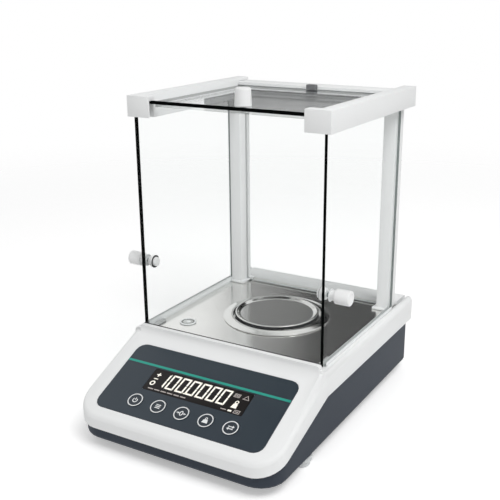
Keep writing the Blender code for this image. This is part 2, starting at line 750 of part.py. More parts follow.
def add_casing_seats(tray):
    sunk = CASING_FLOOR_TOP - CASING_FLOOR / 2
    nut_top = FOOT_CLEARANCE + NUT_HEIGHT + CASING_FLOOR
    for side in (-1, 1):
        boss = rod("nut_boss", NUT_BOSS_RADIUS, sunk, nut_top, segments=ROUND_SEGMENTS)
        fuse(tray, shift(boss, (side * FRONT_FOOT_X, FRONT_FOOT_Y, 0.0)))
        bore = rod("nut_bore", NUT_RADIUS + SEAT_GAP, 0.0, nut_top + CASING_FLOOR, segments=ROUND_SEGMENTS)
        cut(tray, shift(bore, (side * FRONT_FOOT_X, FRONT_FOOT_Y, 0.0)))
        peg = rod("peg_hole", REAR_FOOT_PEG + SEAT_GAP, 0.0, CASING_FLOOR_TOP + CASING_FLOOR)
        cut(tray, shift(peg, (side * REAR_FOOT_X, REAR_FOOT_Y, 0.0)))
    top = CASING_FLOOR_TOP + STANDOFF_HEIGHT - SEAT_GAP
    peg_top = top + SEAT_GAP + BOARD_THICKNESS + PEG_PROUD
    profile = [
        (0.0, sunk),
        (STANDOFF_RADIUS, sunk),
        (STANDOFF_RADIUS, top),
        (PEG_RADIUS, top),
        (PEG_RADIUS, peg_top),
        (0.0, peg_top),
    ]
    for x, y in standoff_places():
        standoff = turned("standoff", profile, segments=SMALL_SEGMENTS)
        fuse(tray, shift(standoff, (x, y, 0.0)))
    return tray


def cut_casing_openings(tray):
    for x, y in casing_screw_places():
        head_room = FOOT_CLEARANCE + SCREW_HEAD_HEIGHT + SEAT_GAP
        hole = rod("screw_hole", SCREW_RADIUS + SCREW_CLEARANCE, 0.0, CASING_FLOOR_TOP * 2)
        sink = rod("screw_sink", SCREW_HEAD_RADIUS + SEAT_GAP, 0.0, head_room)
        cut(tray, shift(hole, (x, y, 0.0)), shift(sink, (x, y, 0.0)))
    for x, width, height in (
        (INLET_X, INLET_SIZE, INLET_SIZE),
        (PORT_X, PORT_WIDTH, PORT_HEIGHT),
    ):
        half_w = width / 2 + SEAT_GAP
        half_h = height / 2 + SEAT_GAP
        low = (x - half_w, CASING_REAR_Y - 2 * CASING_WALL, PORT_Z - half_h)
        high = (x + half_w, CASING_REAR_Y + CASING_WALL, PORT_Z + half_h)
        cut(tray, box("port_opening", low, high))
    return tray


# Draft shield
def make_front_pane():
    half = PANE_WIDTH / 2
    low = (-half, PANE_Y, SLOT_FLOOR + SEAT_GAP)
    return box("front_pane", low, (half, PANE_BACK_Y, LIP_TOP + PANE_RISE), CLEAR_GLASS)


def make_rail(name, side):
    wall = [
        (RAIL_INNER, RAIL_BOTTOM),
        (RAIL_OUTER, RAIL_BOTTOM),
        (RAIL_OUTER, RAIL_TOP),
        (RAIL_WALL_INNER, RAIL_TOP),
        (RAIL_WALL_INNER, SHELF_TOP),
        (RAIL_INNER, SHELF_TOP),
    ]
    rail = prism(name, [(side * x, z) for x, z in wall], "Y", RAIL_FRONT_Y, RAIL_REAR_Y, WHITE_SHELL)
    overlap = RAIL_WALL / 2
    inner, outer = sorted((side * RAIL_INNER, side * (RAIL_WALL_INNER + overlap)))
    block_rear = RAIL_FRONT_Y + RAIL_BLOCK_DEPTH
    sunk = SHELF_TOP - RAIL_SHELF / 2
    fuse(rail, box("front_block", (inner, RAIL_FRONT_Y, sunk), (outer, block_rear, RAIL_TOP)))
    inner, outer = sorted((side * (RAIL_INNER - overlap), side * (PANE_WIDTH / 2 + SEAT_GAP)))
    pane_top = LIP_TOP + PANE_RISE + SEAT_GAP
    low = (inner, PANE_Y - SEAT_GAP, RAIL_BOTTOM - RAIL_SHELF)
    cut(rail, box("pane_notch", low, (outer, PANE_BACK_Y + SEAT_GAP, pane_top)))
    inner, outer = sorted((side * SLOT_INNER, side * SLOT_OUTER))
    low = (inner, PANE_BACK_Y, RAIL_BOTTOM - RAIL_SHELF)
    high = (outer, RAIL_REAR_Y + RAIL_WALL, RAIL_BOTTOM + DOOR_TOP_ENTRY + SLIDE_GAP)
    cut(rail, box("door_groove", low, high))
    reach = RAIL_WALL_INNER + TOP_BAR_NOTCH
    inner, outer = sorted((side * RAIL_INNER, side * reach))
    low = (inner, RAIL_REAR_Y - TOP_BAR_DEPTH - SEAT_GAP, TOP_DOOR_TOP)
    high = (outer, RAIL_REAR_Y + RAIL_WALL, TOP_BAR_TOP + SEAT_GAP)
    cut(rail, box("bar_notch", low, high))
    peg_top = POST_TOP + RAIL_PEG_HEIGHT + SEAT_GAP
    socket = rod("peg_socket", RAIL_PEG_RADIUS + SEAT_GAP, POST_BOTTOM, peg_top)
    return cut(rail, shift(socket, (*post_centre(side), 0.0)))


def make_post(name, side):
    inner, outer = sorted((side * POST_INNER, side * POST_OUTER))
    low = (inner, POST_Y, POST_BOTTOM)
    post = box(name, low, (outer, POST_Y + POST_DEPTH, POST_TOP), WHITE_SHELL)
    inner, outer = sorted((side * (POST_INNER - POST_FLANGE_REACH), side * POST_OUTER))
    flange_y = (POST_Y - POST_FLANGE_LEAD, POST_Y + POST_DEPTH + POST_FLANGE_LEAD)
    flange_top = POST_BOTTOM + POST_FLANGE_HEIGHT
    fuse(post, box("foot_flange", (inner, flange_y[0], POST_BOTTOM), (outer, flange_y[1], flange_top)))
    groove_depth = POST_INNER + POST_GROOVE_DEPTH
    inner, outer = sorted((side * (POST_INNER - POST_WIDTH), side * groove_depth))
    groove_y = POST_Y + POST_GROOVE_OFFSET
    low = (inner, groove_y, POST_BOTTOM + SEAT_GAP)
    high = (outer, groove_y + REAR_PANE_THICKNESS + 2 * SEAT_GAP, POST_TOP * 2)
    cut(post, box("pane_groove", low, high))
    bore = screw_hole("post_bore", POST_SCREW_LENGTH, below=DECK_SLAB)
    cut(post, shift(bore, (*post_centre(side), CAVITY_TOP)))
    peg = rod("rail_peg", RAIL_PEG_RADIUS, POST_TOP - RAIL_PEG_HEIGHT, POST_TOP + RAIL_PEG_HEIGHT)
    return fuse(post, shift(peg, (*post_centre(side), 0.0)))


def make_rear_pane():
    half = POST_INNER + POST_GROOVE_DEPTH - SEAT_GAP
    front = POST_Y + POST_GROOVE_OFFSET + SEAT_GAP
    low = (-half, front, POST_BOTTOM + 2 * SEAT_GAP)
    return box("rear_pane", low, (half, front + REAR_PANE_THICKNESS, POST_TOP), CLEAR_GLASS)


def make_crossbar():
    half = RAIL_INNER - SEAT_GAP
    low = (-half, RAIL_REAR_Y - CROSSBAR_DEPTH, RAIL_BOTTOM)
    return box("rear_crossbar", low, (half, RAIL_REAR_Y, SHELF_TOP), WHITE_SHELL)


def make_top_bar():
    half = RAIL_WALL_INNER + TOP_BAR_NOTCH - SEAT_GAP
    low = (-half, RAIL_REAR_Y - TOP_BAR_DEPTH, TOP_BAR_LOW)
    return box("top_crossbar", low, (half, RAIL_REAR_Y, TOP_BAR_TOP), WHITE_SHELL)


def make_stop_block():
    width, depth, height = STOP_BLOCK
    rear = RAIL_REAR_Y - TOP_BAR_DEPTH - SEAT_GAP
    low = (-width / 2, rear - depth, TOP_BAR_LOW)
    return box("door_stop", low, (width / 2, rear, TOP_BAR_LOW + height), DARK_RUBBER)


def make_pane_clip(name, side):
    outline = arc((side * (PLATE_HALF - CLIP_INSET), PLATE_TOP + SEAT_GAP), CLIP_RADIUS, 0, 180, 8)
    front = PANE_BACK_Y + 2 * SEAT_GAP
    return prism(name, outline, "Y", front, front + CLIP_LENGTH, BRIGHT_STEEL, math.radians(35))


def knob_profile(radius, height, neck_radius, neck, taper, stud):
    # along the knob's own axis, from the end of its stud to the end of its head
    rounding = KNOB_ROUNDING
    profile = [(0.0, -stud), (KNOB_STUD_RADIUS, -stud), (KNOB_STUD_RADIUS, 0.0)]
    if neck:
        profile += [(neck_radius, 0.0), (neck_radius, neck)]
    base = neck
    profile += [(radius - rounding / 2, base), (radius, base + rounding / 2)]
    end = radius - taper
    for i in range(4):
        angle = math.pi / 6 * i
        reach = end - rounding + rounding * math.cos(angle)
        profile.append((reach, base + height - rounding + rounding * math.sin(angle)))
    return profile + [(0.0, base + height)]


def cap_profile():
    bore = KNOB_STUD_RADIUS + KNOB_HOLE_CLEARANCE
    edge = KNOB_CAP_HEIGHT / 3
    return [
        (bore, 0.0),
        (KNOB_CAP_RADIUS, 0.0),
        (KNOB_CAP_RADIUS, KNOB_CAP_HEIGHT - edge),
        (KNOB_CAP_RADIUS - edge, KNOB_CAP_HEIGHT),
        (bore, KNOB_CAP_HEIGHT),
    ]


def side_cap_profile(bore_depth):
    # inner grip of a side door: a flare, a rim and a smaller end, on a blind bore
    bore = KNOB_STUD_RADIUS + KNOB_HOLE_CLEARANCE
    rim = SIDE_CAP_FLARE + SIDE_CAP_RIM
    end = rim + SIDE_CAP_END
    edge = KNOB_ROUNDING / 3
    return [
        (0.0, bore_depth),
        (bore, bore_depth),
        (bore, 0.0),
        (SIDE_NECK_RADIUS, 0.0),
        (SIDE_CAP_RADIUS, SIDE_CAP_FLARE),
        (SIDE_CAP_RADIUS, rim),
        (SIDE_CAP_END_RADIUS, rim),
        (SIDE_CAP_END_RADIUS, end - edge),
        (SIDE_CAP_END_RADIUS - edge, end),
        (0.0, end),
    ]


def knob_hole(length):
    return rod("knob_hole", KNOB_STUD_RADIUS + KNOB_HOLE_CLEARANCE, -length, length)


def make_side_door(prefix, side):
    knob_y = PANE_Y + SIDE_KNOB_SETBACK
    knob_z = LIP_TOP + SIDE_KNOB_RISE
    inner, outer = sorted((side * DOOR_INNER_FACE, side * DOOR_OUTER_FACE))
    low = (inner, DOOR_FRONT_Y, SLOT_FLOOR + SLIDE_GAP)
    high = (outer, DOOR_REAR_Y, RAIL_BOTTOM + DOOR_TOP_ENTRY)
    glass = box(f"{prefix}_door_glass", low, high, CLEAR_GLASS)
    quarter = side * math.pi / 2
    hole = turn(knob_hole(HOUSING_WIDTH), quarter, "Y")
    cut(glass, shift(hole, (0.0, knob_y, knob_z)))
    grip = SIDE_CAP_FLARE
    stud = DOOR_THICKNESS + SEAT_GAP + grip
    profile = knob_profile(
        SIDE_KNOB_RADIUS, SIDE_KNOB_HEAD, SIDE_NECK_RADIUS, SIDE_NECK_LENGTH, 0.0, stud
    )
    knob = turn(turned(f"{prefix}_door_knob", profile, KNOB_WHITE), quarter, "Y")
    shift(knob, (side * (DOOR_OUTER_FACE + SEAT_GAP), knob_y, knob_z))
    cap = turn(turned(f"{prefix}_door_cap", side_cap_profile(grip), KNOB_WHITE), -quarter, "Y")
    shift(cap, (side * (DOOR_INNER_FACE - SEAT_GAP), knob_y, knob_z))
    origin = (side * (DOOR_INNER_FACE + DOOR_THICKNESS / 2), DOOR_FRONT_Y, SLOT_FLOOR + SLIDE_GAP)
    slide_pieces(f"{prefix}_door_slide", origin, (glass, knob, cap))


def slide_pieces(name, origin, pieces):
    for piece in pieces:
        piece.data.transform(Matrix.Translation(-Vector(origin)))
    carry(carrier(name, origin), *pieces)


def make_top_door():
    knob_y = PANE_Y + TOP_KNOB_SETBACK
    half = RAIL_WALL_INNER - SLIDE_GAP
    low = (-half, TOP_DOOR_FRONT_Y, TOP_DOOR_BOTTOM)
    high = (half, TOP_DOOR_FRONT_Y + TOP_DOOR_LENGTH, TOP_DOOR_TOP)
    glass = box("top_door_glass", low, high, CLEAR_GLASS)
    cut(glass, shift(knob_hole(RAIL_TOP * 2), (0.0, knob_y, 0.0)))
    stud = TOP_DOOR_THICKNESS + SEAT_GAP + KNOB_CAP_HEIGHT / 2
    profile = knob_profile(TOP_KNOB_RADIUS, TOP_KNOB_HEIGHT, 0.0, 0.0, TOP_KNOB_TAPER, stud)
    knob = turned("top_door_knob", profile, KNOB_WHITE)
    shift(knob, (0.0, knob_y, TOP_DOOR_TOP + SEAT_GAP))
    cap = turn(turned("top_door_cap", cap_profile(), KNOB_WHITE), math.pi, "X")
    shift(cap, (0.0, knob_y, TOP_DOOR_BOTTOM - SEAT_GAP))
    slide_pieces("top_door_slide", (0.0, TOP_DOOR_FRONT_Y, TOP_DOOR_BOTTOM), (glass, knob, cap))


# Chamber floor
def make_floor_plate():
    low = (-PLATE_HALF, PLATE_FRONT_Y, PLATE_TOP - PLATE_THICKNESS)
    plate = box("floor_plate", low, (PLATE_HALF, PLATE_REAR_Y, PLATE_TOP), BRUSHED_STEEL)
    hole = rod("stem_hole", STEM_HOLE_RADIUS, 0.0, LIP_TOP, segments=ROUND_SEGMENTS)
    cut(plate, shift(hole, (0.0, PAN_Y, 0.0)))
    level = rod("level_hole", LEVEL_RADIUS + SEAT_GAP, 0.0, LIP_TOP, segments=ROUND_SEGMENTS)
    cut(plate, shift(level, (LEVEL_X, PANE_Y + LEVEL_SETBACK, 0.0)))
    for side in (-1, 1):
        cut(plate, shift(screw_hole("post_hole", RAIL_BOTTOM), (*post_centre(side), 0.0)))
    return plate


def make_wind_ring():
    low = PLATE_TOP + SEAT_GAP
    top = low + RING_HEIGHT
    edge = RING_HEIGHT / 5
    profile = [
        (RING_INNER, low),
        (RING_OUTER, low),
        (RING_OUTER, low + edge),
        (RING_OUTER - 2 * edge, low + 3 * edge),
        (RING_INNER + 3 * edge, top),
        (RING_INNER + edge, top - edge / 2),
        (RING_INNER, top - 2 * edge),
    ]
    ring = turned("wind_ring", profile, BRIGHT_STEEL, DISC_SEGMENTS)
    ring.location = (0.0, PAN_Y, 0.0)
    return ring


def make_weighing_pan():
    rim = PLATE_TOP + PAN_RISE
    floor = rim - PAN_DISH
    skirt = rim - PAN_SKIRT
    under = floor - PAN_WALL
    sleeve = under - PAN_SLEEVE_LENGTH
    bore = STEM_RADIUS + SLIDE_GAP
    profile = [
        (0.0, floor),
        (PAN_RADIUS - 4 * PAN_WALL, floor),
        (PAN_RADIUS - 2 * PAN_WALL, rim - PAN_DISH / 4),
        (PAN_RADIUS - PAN_WALL, rim),
        (PAN_RADIUS - PAN_WALL / 4, rim),
        (PAN_RADIUS, rim - PAN_WALL / 2),
        (PAN_RADIUS, skirt),
        (PAN_RADIUS - PAN_WALL, skirt),
        (PAN_RADIUS - PAN_WALL, under),
        (PAN_SLEEVE_RADIUS, under),
        (PAN_SLEEVE_RADIUS, sleeve),
        (bore, sleeve),
        (bore, under),
        (0.0, under),
    ]
    pan = turned("weighing_pan", profile, BRIGHT_STEEL, DISC_SEGMENTS)
    pan.location = (0.0, PAN_Y, 0.0)
    return pan


def make_pan_stem():
    seat = PLATE_TOP + PAN_RISE - PAN_DISH - PAN_WALL - PAN_SLEEVE_LENGTH - SLIDE_GAP
    top = PLATE_TOP + PAN_RISE - PAN_DISH - PAN_WALL - SLIDE_GAP
    profile = [
        (0.0, CELL_TOP + SEAT_GAP),
        (STEM_RADIUS, CELL_TOP + SEAT_GAP),
        (STEM_RADIUS, seat - STEM_FLANGE_HEIGHT),
        (PAN_SLEEVE_RADIUS, seat - STEM_FLANGE_HEIGHT),
        (PAN_SLEEVE_RADIUS, seat),
        (STEM_RADIUS, seat),
        (STEM_RADIUS, top),
        (0.0, top),
    ]
    stem = turned("pan_stem", profile, BRIGHT_STEEL)
    return shift(stem, (0.0, PAN_Y, 0.0))


def make_level():
    place = (LEVEL_X, PANE_Y + LEVEL_SETBACK, 0.0)
    low = PLATE_TOP + SEAT_GAP
    edge = BEZEL_HEIGHT / 3
    inner = LEVEL_RADIUS + SEAT_GAP
    bezel = [
        (inner, low),
        (BEZEL_RADIUS, low),
        (BEZEL_RADIUS, low + BEZEL_HEIGHT - edge),
        (BEZEL_RADIUS - edge, low + BEZEL_HEIGHT),
        (inner, low + BEZEL_HEIGHT),
    ]
    shift(turned("level_bezel", bezel, KNOB_WHITE), place)
    vial_top = low + BEZEL_HEIGHT / 2
    vial = rod("level_vial", LEVEL_RADIUS, PLATE_TOP - LEVEL_DEPTH, vial_top, CLEAR_GLASS, ROUND_SEGMENTS)
    shift(vial, place)


# Control panel
def make_control_panel(slope):
    low = SEAT_GAP - PANEL_RECESS
    high = low + PANEL_THICKNESS
    panel = prism("control_panel", panel_outline(), "Z", low, high, PANEL_FILM)
    cut(panel, prism("window_cutout", window_outline(SEAT_GAP), "Z", low * 4, high * 9))
    for x, u in key_places():
        hole = rod("key_cutout", KEY_RADIUS + KEY_CLEARANCE, low * 4, high * 9, segments=ROUND_SEGMENTS)
        cut(panel, shift(hole, (x, u, 0.0)))
    window = prism("display_window", window_outline(), "Z", low, high, DISPLAY_DARK)
    carry(slope, panel, window)


def make_keys(slope):
    names = ("power_key", "menu_key", "tare_key", "cal_key", "unit_key")
    bottom = KEY_PROUD - KEY_HEIGHT
    edge = KEY_PROUD / 2
    profile = [
        (0.0, bottom - KEY_STEM_LENGTH),
        (KEY_STEM_RADIUS, bottom - KEY_STEM_LENGTH),
        (KEY_STEM_RADIUS, bottom),
        (KEY_RADIUS, bottom),
        (KEY_RADIUS, KEY_PROUD - edge),
        (KEY_RADIUS - edge, KEY_PROUD),
        (0.0, KEY_PROUD),
    ]
    for name, (x, u) in zip(names, key_places()):
        key = turned(name, profile, KEY_FILM)
        key.location = (x, u, 0.0)
        carry(slope, key)


def make_keypad_board(slope):
    half = BOARD_WIDTH / 2
    low = -BOARD_DEPTH - BOARD_THICKNESS
    board = box(
        "keypad_board", (-half, BOARD_FRONT, low), (half, BOARD_REAR, -BOARD_DEPTH), BOARD_GREEN
    )
    key_end = KEY_PROUD - KEY_HEIGHT - KEY_STEM_LENGTH
    reach = SWITCH_SIZE / 2
    for x, u in key_places():
        switch_low = (x - reach, u - reach, -BOARD_DEPTH - BOARD_THICKNESS / 2)
        switch_high = (x + reach, u + reach, key_end - KEY_TRAVEL - SEAT_GAP)
        fuse(board, box("switch", switch_low, switch_high))
    for x, u in board_boss_places():
        hole = rod("peg_hole", PEG_RADIUS + PEG_CLEARANCE, low * 2, 0.0)
        cut(board, shift(hole, (x, u, 0.0)))
    carry(slope, board)


def make_display_module(slope):
    margin = MODULE_MARGIN
    face = -SLOPE_WALL - SEAT_GAP
    low = SEAT_GAP - BOARD_DEPTH
    body = prism("display_module", window_outline(margin), "Z", low, face, DISPLAY_DARK)
    shrink = -WINDOW_LEDGE - SEAT_GAP
    screen = prism("screen", window_outline(shrink), "Z", face - margin, face + MODULE_GLASS_RISE)
    carry(slope, fuse(body, screen))


# Works inside the base
def make_main_board():
    low = CASING_FLOOR_TOP + STANDOFF_HEIGHT
    high = low + BOARD_THICKNESS
    board = box(
        "main_board",
        (MAIN_BOARD_X[0], MAIN_BOARD_Y[0], low),
        (MAIN_BOARD_X[1], MAIN_BOARD_Y[1], high),
        BOARD_GREEN,
    )
    width = MAIN_BOARD_X[1] - MAIN_BOARD_X[0]
    length = MAIN_BOARD_Y[1] - MAIN_BOARD_Y[0]
    chips = (
        (0.3, 0.3, 0.25, 0.15, TALL_CHIP_RISE),
        (0.65, 0.35, 0.2, 0.12, FLAT_CHIP_RISE),
        (0.5, 0.7, 0.4, 0.2, SUPPLY_RISE),
    )
    for x_share, y_share, w_share, l_share, rise in chips:
        x = MAIN_BOARD_X[0] + x_share * width
        y = MAIN_BOARD_Y[0] + y_share * length
        half_w = w_share * width / 2
        half_l = l_share * length / 2
        chip_low = (x - half_w, y - half_l, low + BOARD_THICKNESS / 2)
        fuse(board, box("chip", chip_low, (x + half_w, y + half_l, high + rise)))
    for x, y in standoff_places():
        hole = rod("peg_hole", PEG_RADIUS + PEG_CLEARANCE, 0.0, high * 2)
        cut(board, shift(hole, (x, y, 0.0)))


def make_force_cell():
    half = BRACKET_WIDTH / 2
    margin = (BRACKET_WIDTH - CELL_WIDTH) / 2
    base = CASING_FLOOR_TOP + SEAT_GAP
    box(
        "cell_bracket",
        (-half, CELL_FRONT - margin, base),
        (half, CELL_REAR + margin, BRACKET_TOP),
        CAST_ALUMINIUM,
    )
    half = CELL_WIDTH / 2
    low = (-half, CELL_FRONT, BRACKET_TOP + SEAT_GAP)
    cell = box("force_cell", low, (half, CELL_REAR, CELL_TOP), CAST_ALUMINIUM)
    middle = (BRACKET_TOP + CELL_TOP) / 2
    for share in (0.25, 0.6):
        bore = rod("flexure_bore", CELL_BORE_RADIUS, -CELL_WIDTH, CELL_WIDTH, segments=ROUND_SEGMENTS)
        place = (0.0, CELL_FRONT + share * CELL_LENGTH, middle)
        cut(cell, shift(turn(bore, math.pi / 2, "Y"), place))


def slope_point(u, n):
    cos, sin = math.cos(SLOPE_ANGLE), math.sin(SLOPE_ANGLE)
    return PANEL_Y + u * cos - n * sin, slope_height(PANEL_Y) + u * sin + n * cos


def make_ribbon():
    # flat lead from the main board forward and up to the back of the keypad board
    start_z = CASING_FLOOR_TOP + STANDOFF_HEIGHT + BOARD_THICKNESS + SEAT_GAP
    end_y, end_z = slope_point(BOARD_REAR / 2, -BOARD_DEPTH - BOARD_THICKNESS - 2 * SEAT_GAP)
    board_y = MAIN_BOARD_Y[0]
    under = [(board_y + STANDOFF_MARGIN, start_z)]
    under += [(end_y + SLOPE_WALL * 4, start_z), (end_y, start_z + SLOPE_WALL * 3), (end_y, end_z)]
    thick = RIBBON_THICKNESS
    lift = end_z - thick * math.tan(SLOPE_ANGLE)
    over = [(end_y + thick, lift), (end_y + thick, start_z + SLOPE_WALL * 3 + thick / 2)]
    over += [(end_y + SLOPE_WALL * 4 + thick / 2, start_z + thick)]
    over += [(board_y + STANDOFF_MARGIN, start_z + thick)]
    left = RIBBON_RIGHT - RIBBON_WIDTH
    prism("display_ribbon", under + over, "X", left, RIBBON_RIGHT, BLACK_PLASTIC)


def make_rear_sockets():
    half = INLET_SIZE / 2
    face = CASING_REAR_Y + PORT_PROUD
    low = (INLET_X - half, face - INLET_LENGTH, PORT_Z - half)
    inlet = box("dc_inlet", low, (INLET_X + half, face, PORT_Z + half), BLACK_PLASTIC)
    bore = [
        (INLET_BORE_RADIUS, 0.0),
        (INLET_BORE_RADIUS, INLET_BORE_DEPTH * 2),
        (INLET_PIN_RADIUS, INLET_BORE_DEPTH * 2),
        (INLET_PIN_RADIUS, 0.0),
    ]
    ring = turn(turned("inlet_bore", bore), -math.pi / 2, "X")
    cut(inlet, shift(ring, (INLET_X, face - INLET_BORE_DEPTH, PORT_Z)))
    half_w, half_h = PORT_WIDTH / 2, PORT_HEIGHT / 2
    low = (PORT_X - half_w, face - PORT_LENGTH, PORT_Z - half_h)
    port = box("serial_port", low, (PORT_X + half_w, face, PORT_Z + half_h), BRIGHT_STEEL)
    wide, high = PORT_SHELL_WIDTH / 2, PORT_SHELL_HEIGHT / 2
    narrow = wide - PORT_SHELL_TAPER
    shell = [(-narrow, -high), (narrow, -high), (wide, high), (-wide, high)]
    shell = [(PORT_X + x, PORT_Z + z) for x, z in shell]
    cut(port, prism("port_shell", shell, "Y", face - PORT_SHELL_DEPTH, face + PORT_LENGTH))


# Feet and fasteners
def make_levelling_foot(prefix, side):
    axis = (side * FRONT_FOOT_X, FRONT_FOOT_Y, 0.0)
    edge = PAD_HEIGHT / 5
    pad_profile = [
        (0.0, 0.0),
        (PAD_RADIUS - edge, 0.0),
        (PAD_RADIUS, edge),
        (PAD_RADIUS - edge, PAD_HEIGHT),
        (0.0, PAD_HEIGHT),
    ]
    pad = turned(f"{prefix}_foot_pad", pad_profile, DARK_RUBBER)
    wheel_low = PAD_HEIGHT + SEAT_GAP
    wheel_top = FOOT_CLEARANCE - SEAT_GAP
    outline = []
    for i in range(2 * WHEEL_TEETH):
        reach = WHEEL_RADIUS - (i % 2) * WHEEL_TOOTH_DEPTH
        angle = math.pi * i / WHEEL_TEETH
        outline.append((reach * math.cos(angle), reach * math.sin(angle)))
    wheel = prism(f"{prefix}_foot_wheel", outline, "Z", wheel_low, wheel_top, FOOT_WHITE)
    stud_low = (wheel_low + wheel_top) / 2
    cut(wheel, rod("stud_seat", STUD_RADIUS + SEAT_GAP, stud_low - SEAT_GAP, FOOT_CLEARANCE * 2))
    stud = rod(f"{prefix}_foot_stud", STUD_RADIUS, stud_low, stud_low + STUD_LENGTH, BRIGHT_STEEL)
    carry(carrier(f"{prefix}_foot_axis", axis), pad, wheel, stud)


def make_foot_nut(name, side):
    bore = STUD_RADIUS + SLIDE_GAP
    low = FOOT_CLEARANCE + SEAT_GAP
    top = FOOT_CLEARANCE + NUT_HEIGHT
    profile = [(bore, low), (NUT_RADIUS, low), (NUT_RADIUS, top), (bore, top)]
    nut = turned(name, profile, BRASS)
    return shift(nut, (side * FRONT_FOOT_X, FRONT_FOOT_Y, 0.0))


def make_rear_foot(name, side):
    top = FOOT_CLEARANCE - SEAT_GAP
    edge = top / 6
    profile = [
        (0.0, 0.0),
        (REAR_FOOT_RADIUS - edge, 0.0),
        (REAR_FOOT_RADIUS, edge),
        (REAR_FOOT_RADIUS - edge / 2, top),
        (REAR_FOOT_PEG, top),
        (REAR_FOOT_PEG, CASING_FLOOR_TOP),
        (0.0, CASING_FLOOR_TOP),
    ]
    foot = turned(name, profile, DARK_RUBBER)
    return shift(foot, (side * REAR_FOOT_X, REAR_FOOT_Y, 0.0))


def make_shell_screws():
    names = ("front_left", "front_right", "rear_left", "rear_right")
    for name, (x, y) in zip(names, casing_screw_places()):
        place = (x, y, FOOT_CLEARANCE + SCREW_HEAD_HEIGHT)
        shift(screw(f"{name}_casing_screw", CASING_SCREW_LENGTH, BRIGHT_STEEL), place)
    for prefix, side in (("left", -1), ("right", 1)):
        post_screw = screw(f"{prefix}_post_screw", POST_SCREW_LENGTH, BRIGHT_STEEL)
        shift(post_screw, (*post_centre(side), CAVITY_TOP - SEAT_GAP))


def build_balance():
    slope = carrier("panel_slope", (0.0, PANEL_Y, slope_height(PANEL_Y)), (SLOPE_ANGLE, 0.0, 0.0))
    make_upper_housing(slope)
    make_lower_casing()
    make_control_panel(slope)
    make_keys(slope)
    make_keypad_board(slope)
    make_display_module(slope)
    make_main_board()
    make_force_cell()
    make_ribbon()
    make_rear_sockets()
    make_floor_plate()
    make_wind_ring()
    make_weighing_pan()
    make_pan_stem()
    make_level()
    make_front_pane()
    make_rear_pane()
    make_crossbar()
    make_top_bar()
    make_stop_block()
    for prefix, side in (("left", -1), ("right", 1)):
        make_post(f"{prefix}_post", side)
        make_rail(f"{prefix}_rail", side)
        make_pane_clip(f"{prefix}_pane_clip", side)
        make_side_door(prefix, side)
        make_levelling_foot(prefix, side)
        make_foot_nut(f"{prefix}_foot_nut", side)
        make_rear_foot(f"{prefix}_rear_foot", side)
    make_top_door()
    make_shell_screws()


for old in list(bpy.data.objects):
    bpy.data.objects.remove(old, do_unlink=True)
build_balance()
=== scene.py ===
import json
import math

import bmesh
import bpy
from mathutils import Matrix, Vector

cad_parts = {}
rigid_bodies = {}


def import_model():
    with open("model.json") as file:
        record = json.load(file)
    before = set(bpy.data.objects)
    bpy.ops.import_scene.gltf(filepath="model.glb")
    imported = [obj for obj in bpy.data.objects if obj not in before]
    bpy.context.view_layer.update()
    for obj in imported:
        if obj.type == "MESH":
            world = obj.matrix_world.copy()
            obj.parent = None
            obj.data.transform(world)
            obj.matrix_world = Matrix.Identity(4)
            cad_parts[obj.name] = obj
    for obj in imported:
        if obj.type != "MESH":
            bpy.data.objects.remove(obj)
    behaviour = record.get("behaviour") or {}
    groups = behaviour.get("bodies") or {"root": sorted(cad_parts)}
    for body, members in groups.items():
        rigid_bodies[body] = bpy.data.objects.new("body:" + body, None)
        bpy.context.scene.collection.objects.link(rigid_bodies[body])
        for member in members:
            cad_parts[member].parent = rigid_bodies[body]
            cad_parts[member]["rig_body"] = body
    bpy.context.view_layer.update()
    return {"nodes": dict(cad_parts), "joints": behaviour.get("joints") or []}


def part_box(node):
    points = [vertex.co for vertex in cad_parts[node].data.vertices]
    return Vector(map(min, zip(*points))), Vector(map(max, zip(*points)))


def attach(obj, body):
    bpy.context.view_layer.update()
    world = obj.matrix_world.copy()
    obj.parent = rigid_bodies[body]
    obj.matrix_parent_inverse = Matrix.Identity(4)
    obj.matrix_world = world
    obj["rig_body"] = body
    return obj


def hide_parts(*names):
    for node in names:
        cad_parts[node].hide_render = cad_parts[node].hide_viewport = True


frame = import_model()
nodes = frame["nodes"]
scene = bpy.context.scene
print("frame loaded:", len(nodes), "nodes")


# Node trees written as plain sums
class Wire:
    def __init__(self, graph, socket):
        self.graph = graph
        self.socket = socket

    def sum(self, operation, first, second):
        return self.graph.add("ShaderNodeMath", {"operation": operation}, {0: first, 1: second})

    def __add__(self, other):
        return self.sum("ADD", self, other)

    def __radd__(self, other):
        return self.sum("ADD", other, self)

    def __sub__(self, other):
        return self.sum("SUBTRACT", self, other)

    def __rsub__(self, other):
        return self.sum("SUBTRACT", other, self)

    def __mul__(self, other):
        return self.sum("MULTIPLY", self, other)

    def __rmul__(self, other):
        return self.sum("MULTIPLY", other, self)

    def __truediv__(self, other):
        return self.sum("DIVIDE", self, other)

    def __rtruediv__(self, other):
        return self.sum("DIVIDE", other, self)

    def __pow__(self, other):
        return self.sum("POWER", self, other)

    def __rpow__(self, other):
        return self.sum("POWER", other, self)


class Graph:
    def __init__(self, tree):
        self.tree = tree
        tree.nodes.clear()

    # any node: its settings first, then the values or links of its sockets
    def add(self, kind, settings=None, inputs=None, out=0):
        node = self.tree.nodes.new(kind)
        for name, value in (settings or {}).items():
            if name == "stops":
                self.setStops(node.color_ramp, value)
            else:
                setattr(node, name, value)
        for name, value in (inputs or {}).items():
            if isinstance(value, Wire):
                self.tree.links.new(value.socket, node.inputs[name])
            else:
                node.inputs[name].default_value = value
        return Wire(self, node.outputs[out]) if node.outputs else node

    def setStops(self, ramp, stops):
        while len(ramp.elements) < len(stops):
            ramp.elements.new(1.0)
        for element, (place, colour) in zip(ramp.elements, stops):
            element.position = place
            element.color = colour


